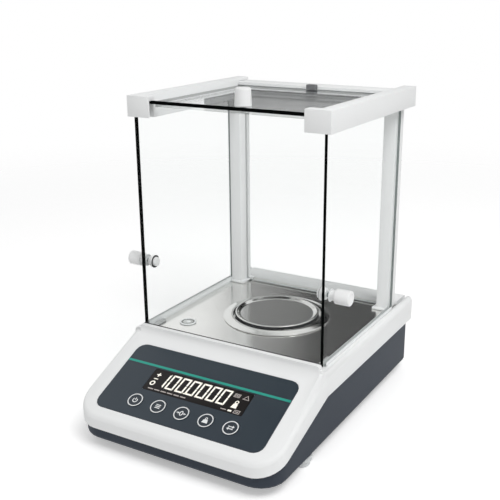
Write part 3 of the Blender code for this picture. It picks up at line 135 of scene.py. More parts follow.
# Colours are written as they look on screen, 0 to 255
def tint(red, green, blue):
    def linear(value):
        share = value / 255
        return share / 12.92 if share <= 0.04045 else ((share + 0.055) / 1.055) ** 2.4

    return (linear(red), linear(green), linear(blue), 1.0)


def newFinish(name):
    material = bpy.data.materials.new(name)
    material.use_nodes = True
    return material, Graph(material.node_tree)


def objectPoint(graph, scale=(1.0, 1.0, 1.0), place=(0.0, 0.0, 0.0)):
    point = graph.add("ShaderNodeTexCoord", out="Object")
    return graph.add("ShaderNodeMapping", None, {"Vector": point, "Scale": scale, "Location": place})


def noise(graph, point, scale, detail=2.0):
    return graph.add("ShaderNodeTexNoise", None, {"Vector": point, "Scale": scale, "Detail": detail})


def blend(graph, factor, first, second):
    return graph.add("ShaderNodeMix", {"data_type": "RGBA"}, {0: factor, 6: first, 7: second}, 2)


def bump(graph, height, strength, distance):
    sockets = {"Height": height, "Strength": strength, "Distance": distance}
    return graph.add("ShaderNodeBump", None, sockets)


def axisOf(graph, point, axis):
    return graph.add("ShaderNodeSeparateXYZ", None, {"Vector": point}, axis)


# How far a point lies from the upright axis
def reachOf(graph, point):
    x, y = axisOf(graph, point, "X"), axisOf(graph, point, "Y")
    return (x * x + y * y) ** 0.5


# One or more on the rays that a viewer sees: straight, mirrored or through glass
def seenRays(graph):
    kinds = ("Is Camera Ray", "Is Glossy Ray", "Is Transmission Ray")
    seen, mirrored, passed = [graph.add("ShaderNodeLightPath", out=kind) for kind in kinds]
    return seen + mirrored + passed


def shownBy(graph, shader):
    graph.add("ShaderNodeOutputMaterial", None, {"Surface": shader})


def dressed(material, graph, sockets):
    shownBy(graph, graph.add("ShaderNodeBsdfPrincipled", None, sockets))
    return material


# Moulded plastic: a fine spark grain, and a slow drift of tone
def mouldedPlastic(name, colour, shade, look):
    material, graph = newFinish(name)
    point = objectPoint(graph)
    drift = noise(graph, point, 14.0)
    grain = noise(graph, point, look["grain"], 3.0)
    return dressed(material, graph, {
        "Base Color": blend(graph, drift, tint(*colour), tint(*shade)),
        "Roughness": (grain - 0.5) * look["spread"] + look["rough"],
        "Normal": bump(graph, grain, look["depth"], 0.0002),
        "Specular IOR Level": look.get("gloss", 0.5),
        "Coat Weight": look.get("coat", 0.0),
        "Coat Roughness": 0.1,
    })


# Bare metal: fine marks of the tool, and a slow drift of tone
def markedMetal(material, graph, mark, drift, look):
    return dressed(material, graph, {
        "Base Color": blend(graph, mark * look["share"] + drift * (1.0 - look["share"]),
                            tint(*look["dark"]), tint(*look["light"])),
        "Metallic": 1.0,
        "Roughness": look["rough"] + (mark - 0.5) * look["spread"],
        "Normal": bump(graph, mark, look["depth"], 0.0001),
    })


# Metal brushed along one direction
def brushedMetal(name, look):
    material, graph = newFinish(name)
    streak = noise(graph, objectPoint(graph, look["stretch"]), look["streak"], 4.0)
    drift = noise(graph, objectPoint(graph), 9.0)
    return markedMetal(material, graph, streak, drift, dict(look, share=0.7))


# Metal turned on a lathe: fine rings about an upright axis
def turnedMetal(name, look):
    material, graph = newFinish(name)
    x0, y0 = look["axis"]
    reach = reachOf(graph, objectPoint(graph, place=(-x0, -y0, 0.0)))
    rings = graph.add("ShaderNodeCombineXYZ", None, {"X": reach})
    groove = noise(graph, rings, look["rings"], 3.0)
    drift = noise(graph, objectPoint(graph), 30.0)
    return markedMetal(material, graph, groove, drift, dict(look, share=0.6))


# Plate glass: clear, with the mirror that grows towards the edge of sight
def plateGlass(name, look):
    material, graph = newFinish(name)
    facing = graph.add("ShaderNodeLayerWeight", None, {"Blend": 0.5}, "Facing")
    mirror = look["mirror"] + look["growth"] * facing ** 5.0
    smear = noise(graph, objectPoint(graph), 25.0, 2.0)
    sheen = graph.add("ShaderNodeBsdfPrincipled", None, {
        "Base Color": blend(graph, smear, tint(252, 253, 253), tint(244, 246, 246)),
        "Metallic": 1.0,
        "Roughness": 0.015 + smear * 0.03,
    })
    clear = graph.add("ShaderNodeBsdfTransparent", None, {"Color": look["clear"]})
    shownBy(graph, graph.add("ShaderNodeMixShader", None, {0: mirror, 1: clear, 2: sheen}))
    return material


# Circuit board: solder mask over a web of tracks
def circuitBoard(name, look):
    material, graph = newFinish(name)
    cells = {"Vector": objectPoint(graph), "Scale": look["trackScale"]}
    web = graph.add("ShaderNodeTexVoronoi", {"distance": "MANHATTAN", "feature": "F1"}, cells)
    track = graph.add("ShaderNodeValToRGB", {"stops": look["stops"]}, {"Fac": web})
    return dressed(material, graph, {
        "Base Color": blend(graph, track, tint(*look["mask"]), tint(*look["track"])),
        "Roughness": 0.35 + web * 0.15,
        "Normal": bump(graph, track, 0.2, 0.0001),
    })


# Light that a lit display segment gives off
def litSegment(name, look):
    material, graph = newFinish(name)
    drift = noise(graph, objectPoint(graph), 120.0)
    colour = blend(graph, drift, tint(*look["colour"]), tint(*look["shade"]))
    return dressed(material, graph, {
        "Base Color": colour,
        "Roughness": 0.4,
        "Emission Color": colour,
        "Emission Strength": look["glow"],
    })


panLow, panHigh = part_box("weighing_pan")
panAxis = ((panLow.x + panHigh.x) / 2, (panLow.y + panHigh.y) / 2)
black, white = (0.0, 0.0, 0.0, 1.0), (1.0, 1.0, 1.0, 1.0)

# Plastics by colour, shade and surface
plasticLooks = {
    "whiteShell": ((238, 239, 239), (234, 235, 235), dict(rough=0.5, spread=0.12, grain=2600.0, depth=0.1, gloss=0.2)),
    "whiteFrame": ((237, 238, 238), (233, 234, 234), dict(rough=0.6, spread=0.1, grain=3200.0, depth=0.06, gloss=0.12)),
    "slateShell": ((60, 66, 75), (55, 61, 70), dict(rough=0.52, spread=0.16, grain=1900.0, depth=0.16, gloss=0.1)),
    "panelFilm": ((48, 58, 67), (44, 54, 63), dict(rough=0.36, spread=0.1, grain=4200.0, depth=0.04)),
    "keyFilm": ((46, 54, 62), (41, 49, 57), dict(rough=0.36, spread=0.1, grain=4200.0, depth=0.04)),
    "displayDark": ((30, 27, 26), (24, 21, 21), dict(rough=0.3, spread=0.05, grain=900.0, depth=0.01, gloss=0.3)),
    "knobWhite": ((240, 240, 240), (235, 236, 236), dict(rough=0.3, spread=0.08, grain=2400.0, depth=0.04)),
    "gasketBlack": ((44, 45, 47), (36, 37, 39), dict(rough=0.62, spread=0.15, grain=1500.0, depth=0.2, gloss=0.3)),
    "darkRubber": ((116, 117, 119), (104, 105, 107), dict(rough=0.7, spread=0.15, grain=1200.0, depth=0.25, gloss=0.3)),
    "blackPlastic": ((38, 38, 40), (31, 31, 33), dict(rough=0.4, spread=0.12, grain=1800.0, depth=0.1)),
    "footPale": ((226, 228, 228), (216, 219, 220), dict(rough=0.28, spread=0.08, grain=1200.0, depth=0.04, coat=0.3)),
    "clipSatin": ((188, 190, 190), (170, 173, 173), dict(rough=0.24, spread=0.08, grain=1600.0, depth=0.03, coat=0.4)),
    "inkWhite": ((240, 241, 241), (230, 232, 233), dict(rough=0.45, spread=0.1, grain=5200.0, depth=0.03)),
    "inkTeal": ((38, 160, 142), (32, 150, 133), dict(rough=0.42, spread=0.1, grain=5200.0, depth=0.03)),
    # edgeDark and edgePale colour glass edge faces, partly the ground edge's own tone and partly painted shade
    # (edgeDark also colours the front glass cap); edgeBright is a painted highlight on glass chamfers, and plain white
    # on the door glides, level lip and bubble
    "edgeDark": ((10, 12, 12), (4, 6, 6), dict(rough=0.4, spread=0.1, grain=700.0, depth=0.04, gloss=0.0)),
    "edgePale": ((126, 134, 133), (110, 118, 117), dict(rough=0.25, spread=0.08, grain=700.0, depth=0.03)),
    "edgeBright": ((244, 246, 246), (234, 238, 238), dict(rough=0.25, spread=0.08, grain=700.0, depth=0.03)),
    "levelGrey": ((196, 198, 196), (188, 190, 188), dict(rough=0.35, spread=0.08, grain=1500.0, depth=0.03)),
    "vialLiquid": ((196, 199, 197), (182, 186, 184), dict(rough=0.08, spread=0.04, grain=300.0, depth=0.01, coat=0.5)),
}
otherLooks = {
    "floorSteel": (brushedMetal, dict(
        dark=(218, 217, 215), light=(255, 255, 253), stretch=(3.0, 260.0, 260.0), streak=6.0,
        rough=0.20, spread=0.07, depth=0.06)),
    "panSteel": (turnedMetal, dict(
        dark=(206, 206, 204), light=(232, 232, 230), axis=panAxis, rings=520.0,
        rough=0.15, spread=0.06, depth=0.02)),
    "brightSteel": (brushedMetal, dict(
        dark=(196, 196, 196), light=(222, 222, 222), stretch=(200.0, 200.0, 12.0), streak=6.0,
        rough=0.20, spread=0.08, depth=0.05)),
    "castAluminium": (brushedMetal, dict(
        dark=(168, 170, 172), light=(196, 198, 200), stretch=(60.0, 60.0, 60.0), streak=20.0,
        rough=0.42, spread=0.15, depth=0.20)),
    "brass": (brushedMetal, dict(
        dark=(196, 160, 86), light=(220, 188, 116), stretch=(200.0, 200.0, 40.0), streak=8.0,
        rough=0.26, spread=0.10, depth=0.06)),
    "clearGlass": (plateGlass, dict(clear=(0.992, 0.995, 0.994, 1.0), mirror=0.006, growth=0.12)),
    "smokeGlass": (plateGlass, dict(clear=(0.965, 0.97, 0.97, 1.0), mirror=0.04, growth=0.96)),
    "boardGreen": (circuitBoard, dict(
        mask=(28, 92, 52), track=(60, 128, 78), trackScale=420.0, stops=[(0.30, black), (0.42, white)])),
    "litSegment": (litSegment, dict(colour=(240, 236, 226), shade=(232, 228, 216), glow=0.35)),
    "dimSegment": (litSegment, dict(colour=(186, 178, 174), shade=(172, 165, 161), glow=0.12)),
}
finishes = {name: mouldedPlastic(name, *looks) for name, looks in plasticLooks.items()}
for name, (make, look) in otherLooks.items():
    finishes[name] = make(name, look)
print("finishes made:", len(finishes))


# A piece is named as its mesh, and rides on one body
def place(mesh, body, slot, replaced=()):
    piece = bpy.data.objects.new(mesh.name, mesh)
    scene.collection.objects.link(piece)
    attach(piece, body)
    if replaced:
        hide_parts(*replaced)


def meshFrom(bm, name, pieceFinishes, smooth=35.0):
    mesh = bpy.data.meshes.new(name)
    bm.to_mesh(mesh)
    bm.free()
    for finish in pieceFinishes:
        mesh.materials.append(finishes[finish])
    mesh.polygons.foreach_set("use_smooth", [True] * len(mesh.polygons))
    mesh.set_sharp_from_angle(angle=math.radians(smooth))
    return mesh


def bodyOf(node):
    return nodes[node]["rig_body"]


def measured(node):
    low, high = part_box(node)
    return low, high, (low + high) / 2


# A node's own solid, joined up again
def joinedCopy(node):
    bm = bmesh.new()
    bm.from_mesh(nodes[node].data)
    bmesh.ops.remove_doubles(bm, verts=bm.verts, dist=2e-6)
    flat = math.radians(0.4)
    bmesh.ops.dissolve_limit(bm, angle_limit=flat, verts=bm.verts, edges=bm.edges)
    return bm


def roundEdges(bm, width, steps, sharp=30.0):
    limit = math.radians(sharp)
    edges = [e for e in bm.edges if len(e.link_faces) == 2 and e.calc_face_angle(0.0) > limit]
    bmesh.ops.bevel(
        bm, geom=edges, offset=width, offset_type="OFFSET", segments=steps, profile=0.5,
        affect="EDGES", clamp_overlap=True)


bar = dict(finish="whiteFrame", slot="white_shell", width=0.0006, steps=3)
post = dict(finish="whiteFrame", slot="white_shell", width=0.0005, steps=2)
clip = dict(finish="clipSatin", slot="bright_steel", width=0.0003, steps=2)
roundedNodes = {
    "upper_housing": dict(finish="whiteShell", slot="white_shell"),
    "lower_casing": dict(finish="slateShell", slot="slate_shell"),
    "control_panel": dict(finish="panelFilm", slot="panel_film"),
    "left_rail": bar, "right_rail": bar, "left_post": post, "right_post": post,
    "rear_crossbar": bar, "top_crossbar": bar,
    "door_stop": dict(finish="darkRubber", slot="dark_rubber", width=0.0007, steps=3),
    "left_pane_clip": clip, "right_pane_clip": clip,
}


# Mouldings keep their node's shape; where a width is given, their sharp edges are rounded
def makeRoundedNodes():
    for node, look in roundedNodes.items():
        bm = joinedCopy(node)
        if "width" in look:
            roundEdges(bm, look["width"], look["steps"])
        place(meshFrom(bm, node + "_moulding", [look["finish"]]), bodyOf(node), look["slot"], [node])
    print("rounded mouldings:", len(roundedNodes))


# looks: broad faces, edge faces (ground edge tone with painted shade), chamfers (painted shade on the front pane,
# painted highlight elsewhere)
sideDoor = dict(looks=["clearGlass", "edgePale", "edgeBright"], chamfer=0.0004, thin=0, polished=True)
glassPanes = {
    "front_pane": dict(looks=["clearGlass", "edgeDark", "edgeDark"], chamfer=0.0003, thin=1, polished=False),
    "rear_pane": dict(looks=["clearGlass", "edgePale", "edgeBright"], chamfer=0.0004, thin=1, polished=False),
    "left_door_glass": sideDoor, "right_door_glass": sideDoor,
    "top_door_glass": dict(looks=["smokeGlass", "edgeDark", "edgeBright"], chamfer=0.0003, thin=2, polished=True),
}


# Plate glass: broad faces clear; edge faces near-black or grey, partly the ground edge's own tone and partly painted
# shade for the dark line a glass edge shows; small chamfers between them, dark painted shade on the front pane and
# white painted highlight on the others
def makePanes():
    clearFace, shadedGroundEdge, chamfer = range(3)
    for node, look in glassPanes.items():
        bm = joinedCopy(node)
        roundEdges(bm, look["chamfer"], 1)
        bm.normal_update()
        for face in bm.faces:
            along = abs(face.normal[look["thin"]])
            face.material_index = clearFace if along > 0.95 else shadedGroundEdge if along < 0.05 else chamfer
            # a sliding door's leading edge is polished clear
            if look["polished"] and face.normal.y < -0.5:
                face.material_index = clearFace
        place(meshFrom(bm, node + "_ground", look["looks"], 10.0), bodyOf(node), "clear_glass", [node])
    print("glass panes:", len(glassPanes))


# A closed outline drawn out along one line
def strip(outline, start, end, spot):
    bm = bmesh.new()
    ends = [[bm.verts.new(spot(along, a, b)) for a, b in outline] for along in (start, end)]
    for i in range(len(outline)):
        j = (i + 1) % len(outline)
        bm.faces.new([ends[0][i], ends[0][j], ends[1][j], ends[1][i]])
    for end in ends:
        bm.faces.new(end)
    bmesh.ops.recalc_face_normals(bm, faces=bm.faces)
    return bm


sealLook = {
    "width": 0.0009, "height": 0.0007, "steps": 6, "stand": 0.00005, "sunk": 0.0001,
    "capSkin": 0.00025, "capDrop": 0.0019, "capFit": 0.00001, "capEnd": 0.0002,
}
glideLook = {"skin": 0.00012, "fit": 0.00001, "inset": 0.0008, "below": 0.0007, "edge": 0.00008}


# A dark bead closes the slot in front of the front glass, and a dark channel caps its head
def makeFrontSeal():
    look = sealLook
    low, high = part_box("front_pane")
    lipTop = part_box("upper_housing")[1].z
    middle = low.y - look["stand"] - look["width"] / 2
    outline = []
    for i in range(look["steps"] + 1):
        angle = math.pi * i / look["steps"]
        across = middle + look["width"] / 2 * math.cos(angle)
        outline.append((across, lipTop - look["sunk"] + look["height"] * math.sin(angle)))
    bm = strip(outline, low.x, high.x, lambda along, a, b: (along, a, b))
    place(meshFrom(bm, "front_glass_seal", ["gasketBlack"]), "base", "dark_rubber")
    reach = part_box("right_rail")[0].x - look["capEnd"]
    skin, fit, foot = look["capSkin"], look["capFit"], high.z - look["capDrop"]
    outline = [
        (low.y - skin, foot), (low.y - fit, foot), (low.y - fit, high.z + fit), (high.y + fit, high.z + fit),
        (high.y + fit, foot), (high.y + skin, foot), (high.y + skin, high.z), (high.y, high.z + skin),
        (low.y, high.z + skin), (low.y - skin, high.z),
    ]
    bm = strip(outline, -reach, reach, lambda along, a, b: (along, a, b))
    place(meshFrom(bm, "front_glass_cap", ["edgeDark"]), "base", "dark_rubber")


# A white channel along the foot of each side door, so that the glass glides in its slot
def makeDoorGlides():
    look = glideLook
    skin, fit, edge, inset = look["skin"], look["fit"], look["edge"], look["inset"]
    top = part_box("upper_housing")[1].z - look["below"]
    for side in ("left", "right"):
        low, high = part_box(side + "_door_glass")
        inner = [low.x - fit, high.x + fit]
        outer = [low.x - skin, high.x + skin]
        outline = [
            (outer[0], low.z - skin), (outer[1], low.z - skin), (outer[1], top - edge), (outer[1] - edge, top),
            (inner[1], top), (inner[1], low.z - fit), (inner[0], low.z - fit), (inner[0], top),
            (outer[0] + edge, top), (outer[0], top - edge),
        ]
        bm = strip(outline, low.y + inset, high.y - inset, lambda along, a, b: (a, along, b))
        place(meshFrom(bm, side + "_door_glide", ["edgeBright"]), side + "_door", "knob_white")
    print("seal and glides made")


# Turned pieces: a profile of (radius, height, rounding) points about an axis
def softProfile(points, steps=4):
    soft = []
    count = len(points)
    for i, (radius, height, rounding) in enumerate(points):
        here = Vector((radius, height))
        if rounding <= 0.0 or i in (0, count - 1):
            soft.append(here)
            continue
        before = Vector(points[i - 1][:2]) - here
        after = Vector(points[i + 1][:2]) - here
        reach = min(rounding, before.length * 0.49, after.length * 0.49)
        start = here + before.normalized() * reach
        end = here + after.normalized() * reach
        for step in range(steps + 1):
            share = step / steps
            first = start.lerp(here, share)
            soft.append(first.lerp(here.lerp(end, share), share))
    return soft


def turned(profile, origin, axis, segments):
    lift = Vector((0.0, 0.0, 1.0)).rotation_difference(Vector(axis)).to_matrix()
    bm = bmesh.new()
    rings = []
    for radius, height in profile:
        if radius < 1e-7:
            rings.append([bm.verts.new(Vector(origin) + lift @ Vector((0.0, 0.0, height)))])
            continue
        ring = []
        for i in range(segments):
            angle = 2.0 * math.pi * i / segments
            point = Vector((radius * math.cos(angle), radius * math.sin(angle), height))
            ring.append(bm.verts.new(Vector(origin) + lift @ point))
        rings.append(ring)
    for lower, upper in zip(rings, rings[1:]):
        for i in range(segments):
            j = (i + 1) % segments
            corners = [lower[i % len(lower)], lower[j % len(lower)], upper[j % len(upper)], upper[i % len(upper)]]
            corners = list(dict.fromkeys(corners))
            if len(corners) > 2:
                bm.faces.new(corners)
    bmesh.ops.recalc_face_normals(bm, faces=bm.faces)
    return bm


def makeTurned(name, points, origin, look, replaced=(), axis=(0, 0, 1)):
    bm = turned(softProfile(points), origin, axis, look.get("segments", 72))
    place(meshFrom(bm, name, [look["finish"]], 40.0), look["body"], look["slot"], replaced)


# The profile of a hoop, with the roundings of its outer foot, outer head and inner head
def hoop(inside, outside, foot, head, roundings=(0.0, 0.0, 0.0)):
    outerFoot, outerHead, innerHead = roundings
    return [(inside, foot, 0.0), (outside, foot, outerFoot), (outside, head, outerHead),
            (inside, head, innerHead), (inside, foot, 0.0)]


def moulded(body, segments=72):
    return dict(finish="knobWhite", slot="knob_white", body=body, segments=segments)


hair = 0.00002  # keeps two faces apart that lie on each other
knobLook = {
    "stud": 0.0018, "rounding": 0.0016, "gap": 0.0003, "neck": 0.0043, "neckLength": 0.0050, "dimple": 0.0004,
    "washer": 0.0056, "washerHeight": 0.0006, "washerFit": 0.0001, "edge": 0.0002,
    "capBore": 0.0022, "capEdge": 0.0008, "capDish": 0.0012, "capDrop": 0.0006,
    "flare": 0.0038, "rim": 0.0014, "end": 0.0043, "ring": 0.0003, "ringFit": 0.00005, "ringInset": 0.0001,
    "topTaper": 0.0008, "topDimple": 0.0003,
}


# The stud that runs through the glass, up to the knob's seat
def studPoints(depth):
    stud, gap = knobLook["stud"], knobLook["gap"]
    return [(0.0, -depth, 0.0), (stud, -depth, 0.0), (stud, gap, 0.0)]


# Side doors: a head on a short neck outside, a flared grip with a dark ring inside
def makeSideKnobs():
    look = knobLook
    for side, prefix in ((-1, "left"), (1, "right")):
        body = prefix + "_door"
        low, high, middle = measured(body + "_knob")
        glassLow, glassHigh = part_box(body + "_glass")
        face = glassHigh.x if side > 0 else glassLow.x
        origin, axis = (face, middle.y, middle.z), (side, 0, 0)
        radius = (high.z - low.z) / 2
        end = max(abs(low.x), abs(high.x)) - abs(face)
        neck = look["neckLength"] + look["gap"]
        floor = end - look["dimple"]
        points = studPoints(abs(face) - min(abs(low.x), abs(high.x))) + [
            (look["neck"], look["gap"], look["edge"]), (look["neck"], neck, 0.0006),
            (radius, neck, look["rounding"] / 2), (radius, end, look["rounding"]),
            (radius * 0.62, end, 0.0006), (radius * 0.55, floor, 0.0006), (0.0, floor, 0.0),
        ]
        makeTurned(body + "_grip", points, origin, moulded(body), [body + "_knob"], axis)
        inside = look["neck"] + look["washerFit"]
        points = hoop(inside, look["washer"], hair, look["washerHeight"], (look["edge"], look["edge"], 0.0))
        pale = dict(finish="footPale", slot="foot_white", body=body)
        makeTurned(body + "_washer", points, origin, pale, axis=axis)
        makeInnerGrip(body, side)


def makeInnerGrip(body, side):
    look = knobLook
    low, high, middle = measured(body + "_cap")
    radius = (high.z - low.z) / 2
    height = high.x - low.x
    origin, axis = (high.x if side > 0 else low.x, middle.y, middle.z), (-side, 0, 0)
    rim = look["flare"] + look["rim"]
    points = [
        (0.0, look["flare"], 0.0), (look["capBore"], look["flare"], 0.0), (look["capBore"], 0.0, 0.0),
        (look["neck"], 0.0, 0.0003), (radius, look["flare"], 0.0010), (radius, rim, 0.0004),
        (look["end"], rim, look["edge"]), (look["end"], height, 0.0008), (0.0, height, 0.0),
    ]
    makeTurned(body + "_inner_grip", points, origin, moulded(body), [body + "_cap"], axis)
    inside, outside = look["end"] + look["ringFit"], radius - look["ringInset"]
    points = hoop(inside, outside, rim + hair, rim + look["ring"], (0.0, look["edge"], 0.0))
    dark = dict(finish="gasketBlack", slot="dark_rubber", body=body)
    makeTurned(body + "_inner_ring", points, origin, dark, axis=axis)


# Top door: a low tapered knob over the glass, a dished disc under it
def makeTopKnob():
    look = knobLook
    low, high, middle = measured("top_door_knob")
    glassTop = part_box("top_door_glass")[1].z
    radius = (high.x - low.x) / 2
    end = high.z - glassTop
    floor = end - look["topDimple"]
    points = studPoints(glassTop - low.z) + [
        (radius, look["gap"], 0.0006), (radius - look["topTaper"], end, look["rounding"]),
        (radius * 0.55, end, 0.0006), (radius * 0.48, floor, 0.0006), (0.0, floor, 0.0),
    ]
    makeTurned("top_door_grip", points, (middle.x, middle.y, glassTop), moulded("top_door"), ["top_door_knob"])
    low, high, middle = measured("top_door_cap")
    radius = (high.x - low.x) / 2
    height = high.z - low.z
    bore = look["capBore"]
    points = [
        (bore, 0.0, 0.0), (radius, 0.0, 0.0003), (radius, height, look["capEdge"]),
        (bore + look["capDish"], height, 0.0003), (bore, height - look["capDrop"], 0.0), (bore, 0.0, 0.0),
    ]
    origin = (middle.x, middle.y, high.z)
    makeTurned("top_door_cap_disc", points, origin, moulded("top_door", 56), ["top_door_cap"], (0, 0, -1))
    print("knobs and grips turned")


# The pan and its ring are pressed from sheet: thin walls, rolled rims
panLook = {
    "wall": 0.0012, "dish": 0.0021, "skirt": 0.0042, "sleeve": 0.007, "bore": 0.0043,
    "band": 0.0004, "bandDrop": 0.0009, "bandFoot": 0.0002, "segments": 128,
}
ringLook = {"inner": 0.0425, "flange": 0.0009, "foot": 0.0016, "shoulder": 0.0032}


def makePanAndRing():
    look = panLook
    origin = (*panAxis, 0.0)
    steel = dict(finish="panSteel", slot="bright_steel", segments=look["segments"])
    radius = (panHigh.x - panLow.x) / 2
    rim, wall = panHigh.z, look["wall"]
    skirt, floor = rim - look["skirt"], rim - look["dish"]
    under = floor - wall
    points = [
        (0.0, floor, 0.0), (radius - 3.2 * wall, floor, 0.0022), (radius - 1.5 * wall, rim, 0.0008),
        (radius, rim, 0.0009), (radius, skirt, 0.0003),
        (radius - wall, skirt, 0.0003), (radius - wall, under, 0.0006),
        (look["sleeve"], under, 0.0004), (look["sleeve"], panLow.z, 0.0003),
        (look["bore"], panLow.z, 0.0003), (look["bore"], under, 0.0), (0.0, under, 0.0),
    ]
    makeTurned("weighing_pan_pressed", points, origin, dict(steel, body="pan"), ["weighing_pan"])
    # a dark band round the skirt is painted shade: it stands in for the shadowed gap under the pan's rim, above the
    # ring
    foot, head = skirt + look["bandFoot"], rim - look["bandDrop"]
    points = hoop(radius + hair, radius + look["band"], foot, head, (0.0002, 0.0002, 0.0))
    rubber = dict(finish="gasketBlack", slot="dark_rubber", body="pan", segments=look["segments"])
    makeTurned("weighing_pan_shade_band", points, origin, rubber)
    low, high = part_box("wind_ring")
    outer, inner, edge = (high.x - low.x) / 2, ringLook["inner"], ringLook["flange"]
    points = [
        (inner, low.z, 0.0), (outer, low.z, 0.0003), (outer, low.z + edge, 0.0004),
        (outer - ringLook["foot"], low.z + edge * 1.4, 0.0008), (inner + ringLook["shoulder"], high.z, 0.0012),
        (inner, high.z, 0.0006), (inner, low.z, 0.0),
    ]
    makeTurned("wind_ring_pressed", points, origin, dict(steel, body="ring"), ["wind_ring"])
    print("pan and ring pressed")


levelLook = {
    "lip": 0.0016, "lipEdge": 0.0006, "sunk": 0.0003, "seatFit": 0.0002, "seatEdge": 0.0001, "crown": 0.0001,
    "mark": 0.0056, "markLine": 0.0004, "markLift": 0.00004, "markHeight": 0.00006,
    "bubble": 0.0022, "bubbleHeight": 0.0004, "bubbleShoulder": 0.0003, "bubbleOff": (0.0003, 0.0002),
}


# Round level: a white lip, a grey seat, pale liquid with a dark circle, and the bubble
def makeLevel():
    look = levelLook
    low, high, middle = measured("level_bezel")
    vialLow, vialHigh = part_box("level_vial")
    origin = (middle.x, middle.y, 0.0)
    outer = (high.x - low.x) / 2
    inner = (vialHigh.x - vialLow.x) / 2
    edge = look["lipEdge"]
    points = hoop(outer - look["lip"], outer, low.z, high.z, (0.0, edge, edge))
    lip = dict(finish="edgeBright", slot="knob_white", body="base")
    makeTurned("level_bezel_lip", points, origin, lip, ["level_bezel"])
    inside, outside, edge = inner + look["seatFit"], outer - look["lip"] - hair, look["seatEdge"]
    points = hoop(inside, outside, low.z, high.z - look["sunk"], (0.0, edge, edge))
    makeTurned("level_bezel_seat", points, origin, dict(finish="levelGrey", slot="knob_white", body="base"))
    crown = vialHigh.z + look["crown"]
    points = [
        (0.0, vialLow.z, 0.0), (inner, vialLow.z, 0.0004), (inner, vialHigh.z, 0.0003),
        (inner * 0.5, crown, 0.0), (0.0, crown, 0.0),
    ]
    liquid = dict(finish="vialLiquid", slot="clear_glass", body="base")
    makeTurned("level_vial_liquid", points, origin, liquid, ["level_vial"])
    top = crown + look["markLift"]
    points = hoop(look["mark"] - look["markLine"], look["mark"], top, top + look["markHeight"])
    ink = dict(finish="gasketBlack", slot="black_plastic", body="base", segments=48)
    makeTurned("level_mark", points, origin, ink)
    bubble, head = look["bubble"], top + look["bubbleHeight"]
    points = [
        (0.0, top - hair, 0.0), (bubble, top - hair, 0.0), (bubble * 0.8, top + look["bubbleShoulder"], 0.0008),
        (bubble * 0.3, head, 0.0004), (0.0, head, 0.0),
    ]
    aside, along = look["bubbleOff"]
    air = dict(finish="edgeBright", slot="clear_glass", body="base", segments=40)
    makeTurned("level_bubble", points, (middle.x + aside, middle.y + along, 0.0), air)
    print("level made")


# Prints on the sloping panel, laid out on the panel's own face
pressAxis = next(j["axis"] for j in frame["joints"] if j["name"] == "power_key_press")
panelNormal = -Vector(pressAxis).normalized()
panelUp = Vector((0.0, panelNormal.z, -panelNormal.y))
panelLow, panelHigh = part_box("control_panel")
panelRise = panelUp.dot((panelLow + panelHigh) / 2)


def faceLevel(node):
    return max(panelNormal.dot(v.co) for v in nodes[node].data.vertices)


def panelPoint(x, rise, level):
    return Vector((x, 0.0, 0.0)) + panelUp * (panelRise + rise) + panelNormal * level


def arcPoints(centre, radius, start, end, steps):
    points = []
    for i in range(steps + 1):
        angle = math.radians(start + (end - start) * i / steps)
        points.append((centre[0] + radius * math.cos(angle), centre[1] + radius * math.sin(angle)))
    return points


# A line of even width through points, as one quad for each stretch
def inkLine(points, width, closed=False):
    count = len(points)
    offsets = []
    for i in range(count):
        here = Vector(points[i])
        before = Vector(points[i - 1]) if closed or i else here * 2 - Vector(points[1])
        after = Vector(points[(i + 1) % count]) if closed or i < count - 1 else here * 2 - Vector(points[i - 1])
        first = (here - before).normalized()
        second = (after - here).normalized()
        normal = Vector((-first.y - second.y, first.x + second.x)).normalized()
        stretch = width / 2 / max(0.35, normal.dot(Vector((-first.y, first.x))))
        offsets.append((here + normal * stretch, here - normal * stretch))
    quads = []
    for i in range(count if closed else count - 1):
        j = (i + 1) % count
        quads.append([offsets[i][1], offsets[j][1], offsets[j][0], offsets[i][0]])
    return quads


def inkBox(x, rise, width, height, lean=0.0):
    shift = lean * height / 2
    left, right = x - width / 2, x + width / 2
    low, high = rise - height / 2, rise + height / 2
    return [(left - shift, low), (right - shift, low), (right + shift, high), (left + shift, high)]


# Printed shapes get a hair of thickness, with walls only round their outside
def inkMesh(name, shapes, level, thickness, finish):
    corners, faces, walls = {}, [], {}
    bottom, top = [], []
    for shape in shapes:
        ids = []
        turn = sum(a[0] * b[1] - b[0] * a[1] for a, b in zip(shape, shape[1:] + shape[:1]))
        for x, rise in shape if turn > 0 else shape[::-1]:
            key = (round(x, 7), round(rise, 7))
            if key not in corners:
                corners[key] = len(corners)
                bottom.append(panelPoint(x, rise, level))
                top.append(panelPoint(x, rise, level + thickness))
            ids.append(corners[key])
        faces.append(list(dict.fromkeys(ids)))
        for a, b in zip(ids, ids[1:] + ids[:1]):
            if a != b:
                walls[(a, b)] = walls.get((a, b), 0) + 1
    count = len(corners)
    polygons = [[i + count for i in face] for face in faces] + [face[::-1] for face in faces]
    polygons += [[a, b, b + count, a + count] for a, b in walls if (b, a) not in walls]
    mesh = bpy.data.meshes.new(name)
    mesh.from_pydata(bottom + top, [], polygons)
    mesh.materials.append(finishes[finish])
    mesh.validate()
    mesh.update()
    return mesh


panelPrint = {"ink": 0.00004, "stripeRise": 0.0176, "stripeWidth": 0.0024, "sideMargin": 0.0004}


def makePanelPrint():
    look = panelPrint
    width = panelHigh.x - panelLow.x - 2 * look["sideMargin"]
    stripe = [inkBox(0.0, look["stripeRise"], width, look["stripeWidth"])]
    level = faceLevel("control_panel") + hair
    place(inkMesh("panel_stripe", stripe, level, look["ink"], "inkTeal"), "base", "panel_film")
    print("panel printed")


